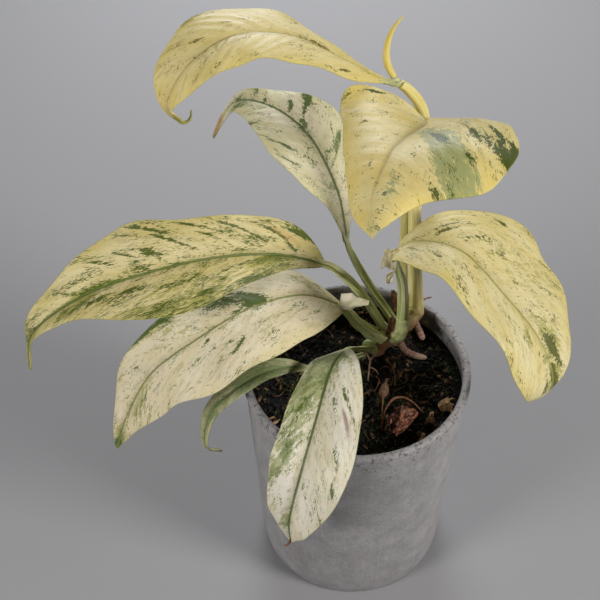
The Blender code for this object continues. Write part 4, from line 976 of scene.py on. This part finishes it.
def shell(points, thickness):
    # a thin closed shell over a grid of points: the upper side, and the same moved back along its normals
    du, dv = np.gradient(points, axis=0), np.gradient(points, axis=1)
    normal = unit(np.cross(du, dv))
    back = points - normal * thickness
    rows, columns = points.shape[:2]
    ring = np.concatenate([points, back[:, ::-1]], axis=1)
    faces = gridFaces(rows, 2 * columns, closed=True)[:, ::-1].tolist()
    last = (rows - 1) * 2 * columns
    for j in range(columns - 1):
        k = 2 * columns - 1 - j
        faces.append((j + 1, j, k, k - 1))
        faces.append((last + j, last + j + 1, last + k - 1, last + k))
    flat = ring.reshape(-1, 3)
    return flat, faces, flat


def makeDriedLeaf():
    # a roll of radius 1.5 + 3.6 sin, crumpled, with a torn, curled margin, and turned about Z
    cx, cy = dryBuild["driedLeaf"]
    along, j = np.meshgrid(np.linspace(0, 1, 90), np.linspace(0, 8, 80), indexing="ij")
    crumple = 0.85 * roughNoise(along * 8, j * 1.3, 41, 4)
    radius = 1.5 + 3.6 * np.sin(math.pi * (0.12 + 0.8 * along)) + crumple
    turn = np.radians(-35 + 235 * j / 8 + 25 * along)
    x = -9.0 + 18 * along + 0.9 * softNoise(along * 5, j, 43)
    y = radius * np.cos(turn) + 1.6 * np.sin(3.1 * along)
    spin = math.radians(dryBuild["driedTurn"])
    x, y = cx + x * math.cos(spin) - y * math.sin(spin), cy + x * math.sin(spin) + y * math.cos(spin)
    z = radius * (1 + np.sin(turn)) + 0.8 * np.sin(9 * along + j)
    z = z + np.max(soilHeight(x, y) - z) + 0.9
    points, faces, straight = shell(np.stack([x, y, z], axis=-1), 0.35)
    putPiece("dried_leaf_roll", points, faces, dryMaterial("deadLeaf", "331811", "8f573c", 0.5, 260.0),
             None, ["dried_leaf"])


def makeHusk():
    x, y = dryBuild["husk"]
    shape = np.array(((-5.0, 0.7), (-3.6, 1.8), (-1.2, 2.4), (1.2, 2.3), (3.2, 1.5), (4.6, 0.7), (7.4, 0.6)))
    rest = np.max(soilHeight(x + 0.25 * shape[:, 0], y + shape[:, 0]) + shape[:, 1]) + 0.5
    rows = np.stack([x + 0.25 * shape[:, 0], y + shape[:, 0], np.full(7, rest), shape[:, 1]], axis=-1)
    points, faces, straight = closedTube(rows, 48, 28, lambda t, a: 1 + 0.09 * np.cos(7 * a) * np.sin(math.pi * t))
    putPiece("seed_husk", points, faces, dryMaterial("dryHusk", "573a28", "b58c6c", 0.6),
             {"straight": straight}, ["husk"])


def makeDrySheath():
    x0, y0, z0 = dryBuild["sheath"]
    t, v = np.meshgrid(np.linspace(0, 1, 40), np.linspace(-1, 1, 28), indexing="ij")
    half = 2.7 * np.sqrt(1.15 - t)
    x = x0 - 4.0 * t + half * v
    y = y0 + 4.0 * t + 0.3 * half * v * v + 0.3 * softNoise(t * 4, v * 4, 9)
    z = z0 + (13 + 0.9 * softNoise(v * 5, v * 0 + 2, 10)) * t
    points, faces, straight = shell(np.stack([x, y, z], axis=-1), 0.3)
    putPiece("dry_sheath_scale", points, faces, dryMaterial("paperySheath", "4a2c1a", "9c7350", 0.7),
             None, ["dry_sheath"])


# ---- thin stalks, threads and flakes
# strands are tapering tubes through (x, y, z, radius); flakes are (start, ahead, across, roll in mm, taper)
strands = {
    "second_stalk": dict(slot="stem_skin", sides=20, rows=(
        ((28.4, 43.6, 266, 1.2), (26.3, 43.2, 250, 1.9), (24.5, 41.8, 225, 2.1), (24.5, 40.6, 205, 2.1),
         (25.3, 39.2, 185, 2.1), (26.4, 37.4, 168, 2.0), (29.0, 34.5, 154, 1.6)),)),
    "crown_sheaths": dict(slot="leaf_green", sides=20, rows=(
        ((-5.6, 21.4, 166.4, 2.2), (-1.0, 19.6, 160.4, 3.0), (5.2, 18.8, 153.0, 3.3), (11.0, 18.8, 147.0, 3.2),
         (16.0, 20.2, 142.6, 2.4)),
        ((25.2, 21.2, 158.0, 3.1), (24.8, 19.6, 150.6, 3.5), (22.2, 19.8, 144.8, 3.4), (18.0, 20.8, 140.8, 2.6)),
        ((14.2, 25.2, 149.4, 2.6), (16.4, 25.0, 144.4, 3.4), (17.4, 23.6, 140.4, 2.8)))),
    "blade_tip_hook": dict(slot="leaf_yellow", sides=10, rows=(
        ((-84.4, 35.0, 282.0, 0.8), (-82.8, 37.3, 277.6, 0.85), (-80.2, 38.3, 276.8, 0.8), (-78.2, 38.5, 279.4, 0.6),
         (-77.7, 38.5, 283.4, 0.3)),)),
    "dry_tip_hook": dict(slot="dry_brown", sides=8, rows=(
        ((-35.5, -71.4, 92.0, 0.7), (-36.6, -72.0, 89.0, 0.55), (-38.0, -72.4, 87.8, 0.45), (-38.8, -72.6, 89.6, 0.2)),)),
    "pink_rootlets": dict(slot="stem_skin", sides=10, rows=(
        ((4.1, 18.1, 136.0, 0.4), (6.6, 14.6, 137.0, 0.55), (8.1, 11.0, 136.2, 0.6), (7.4, 5.6, 134.8, 0.55),
         (6.5, -0.6, 133.2, 0.3)), ((12.9, 16.0, 138.0, 0.35), (10.6, 13.6, 137.4, 0.5), (8.1, 11.0, 136.2, 0.5)),
        ((7.8, 7.0, 135.2, 0.4), (10.4, 5.4, 135.4, 0.35), (12.4, 3.0, 134.0, 0.2)))),
    "arched_fibres": dict(slot="dry_brown", sides=8, rows=(
        ((11.9, -33.6, 133.6, 0.35), (13.4, -26.4, 139.6, 0.5), (17.2, -21.4, 142.6, 0.6), (22.6, -19.6, 143.0, 0.6),
         (28.6, -21.4, 140.4, 0.5), (33.8, -24.6, 135.6, 0.3)),
        ((13.6, -13.0, 134.6, 0.6), (12.9, -19.5, 137.0, 0.45), (12.2, -27.0, 136.6, 0.4), (11.9, -33.8, 133.4, 0.3)),
        ((16.2, 11.2, 136.6, 0.25), (18.6, 7.2, 138.0, 0.3), (20.6, 1.4, 136.4, 0.3), (20.4, -4.6, 133.4, 0.2)),
        ((35.0, 38.2, 150.0, 0.3), (38.6, 40.4, 152.0, 0.5), (42.4, 41.0, 153.0, 0.35)),
        ((9.4, -8.4, 133.4, 0.2), (12.2, -3.6, 136.4, 0.25), (10.8, 1.8, 134.2, 0.2)))),
}
flakes = {
    "cream_stipules": dict(slot="leaf_cream", rows=(
        ((20.4, 23.4, 202.2), (-7.8, -0.6, 2.4), (1.2, 0.5, 6.4), 2.4, 0.12),
        ((18.8, 25.2, 186.4), (-3.8, -0.5, 0.2), (0.3, 0.2, 4.2), 1.1, 0.3),
        ((-8.6, 19.6, 171.8), (14.6, -3.4, 2.2), (0.5, 0.8, 6.4), 1.6, 0.9))),
    "brown_scales": dict(slot="dry_brown", rows=(
        ((17.0, 32.0, 139.0), (1.0, 2.6, 10.0), (3.2, 0.4, 0.2), 1.2, 0.5),
        ((22.6, 31.4, 146.0), (2.6, 3.4, 8.0), (2.2, 0.6, 0.0), 1.0, 0.6),
        ((10.4, 26.0, 135.0), (-1.0, 1.6, 7.0), (2.4, 0.3, 0.3), 0.9, 0.4),
        ((19.4, 21.6, 145.0), (0.2, 2.4, 11.5), (2.8, 0.3, 0.2), 0.9, 0.45),
        ((13.0, 21.0, 142.0), (-0.6, 1.0, 7.5), (2.0, 0.2, 0.3), 0.8, 0.5),
        ((14.2, 29.0, 138.0), (0.6, 0.8, 8.6), (2.0, -0.8, 0.2), 0.8, 0.7),
        ((27.4, 24.2, 143.0), (2.2, -2.2, 4.6), (1.8, 1.2, 0.6), 0.8, 0.5))),
    "tan_chips": dict(slot="dry_brown", rows=(
        ((36.0, -27.8, 132.2), (1.2, 1.6, 7.2), (2.1, 0.5, 0.0), 1.0, 0.5),
        ((30.8, -40.2, 131.8), (1.3, 1.6, 6.2), (1.4, 0.3, 0.2), 0.7, 0.5),
        ((-44.0, -27.0, 132.4), (3.2, 1.0, 1.4), (0.5, 1.2, 0.3), 0.4, 0.4),
        ((42.4, -18.4, 132.4), (5.2, 2.6, 3.6), (-1.0, 2.6, 0.8), 1.8, 0.2),
        ((45.4, -14.2, 133.0), (2.6, -2.0, 4.8), (2.0, 1.6, 0.2), 1.5, 0.3),
        ((47.2, -20.2, 131.8), (1.6, 1.2, 5.2), (1.8, -0.6, 0.3), 1.1, 0.4),
        ((40.2, 39.6, 134.0), (3.2, 2.0, 3.4), (1.4, -1.6, 0.6), 1.0, 0.3),
        ((43.6, 38.0, 133.6), (0.6, 2.8, 4.4), (1.6, 0.6, 0.2), 0.9, 0.4),
        ((50.2, 33.4, 132.6), (1.6, -1.4, 2.2), (0.6, 0.9, 0.2), 0.4, 0.4))),
}


def makeStrands(name, material):
    # each strand is a closed tube with low waves along it
    def shape(t, a):
        return 1 + 0.08 * np.sin(23 * t + a) + 0.05 * np.cos(3 * a)

    tubes = [closedTube(rows, 14 * len(rows), strands[name]["sides"], shape) for rows in strands[name]["rows"]]
    points, faces, straight = joined(tubes)
    putPiece(name, points, faces, material, {"straight": straight})


def makeFlakes(name, material):
    # start + t ahead + v (1 - taper t^1.5) across + (v^2 + t^2 / 2) roll, with wavy margins
    sheets = []
    t, v = np.meshgrid(np.linspace(0, 1, 26), np.linspace(-1, 1, 22), indexing="ij")
    for number, (start, ahead, across, roll, taper) in enumerate(flakes[name]["rows"]):
        normal = unit(np.cross(ahead, across))
        wide = v * (1 - taper * t ** 1.5) * (1 + 0.22 * softNoise(t * 5, v * 0 + number, 51))
        lift = roll * (v ** 2 + 0.5 * t ** 2) + 0.35 * roughNoise(t * 4, v * 3 + number, 57, 3)
        grid = (np.array(start, dtype=float) + t[..., None] * np.array(ahead) + wide[..., None] * np.array(across)
                - lift[..., None] * normal)
        sheets.append(shell(grid, 0.28))
    points, faces, straight = joined(sheets)
    putPiece(name, points, faces, material)


makeCamera()
makeStudio()
print("camera and studio made")
makePot()
print("pot made")
for number, leafName in enumerate(leaves):
    makeLeaf(leafName, leaves[leafName], leafLooks[leafName], 40.0 + 13.7 * number)
print("leaves made")
makeStem()
makeSpike()
print("stem, roots, bud and new leaf made")
makeSoil()
makeLitter()
makeDriedLeaf()
makeHusk()
makeDrySheath()
print("soil and litter made")
makeStrands("second_stalk", stalkMaterial("sheathSkin", "b3ae69", "d8cf92", "8c6a4e", 138.0, 155.0))
makeStrands("crown_sheaths", stalkMaterial("greenSheathSkin", "a6b56a", "dadcac", "866247", 139.0, 147.0))
makeStrands("blade_tip_hook", stalkMaterial("greenBladeTip", "7f8a3c", "a9a85a", "6b4a33", 10.0, 11.0))
makeStrands("dry_tip_hook", dryMaterial("scorchedTip", "4a2a18", "8a5a38", 0.6))
makeStrands("pink_rootlets", dryMaterial("rootletSkin", "7a5a4c", "b89a88", 0.6, 300.0))
makeStrands("arched_fibres", dryMaterial("tanFibre", "5a341c", "a8764a", 0.55, 300.0))
makeFlakes("cream_stipules", dryMaterial("paleStipule", "e6dfb4", "fdf8e2", 0.5, 160.0))
makeFlakes("brown_scales", dryMaterial("brownScale", "3a2417", "8a6244", 0.65, 300.0))
makeFlakes("tan_chips", dryMaterial("tanChip", "74522f", "d6b384", 0.7, 300.0))
print("strands and flakes made")
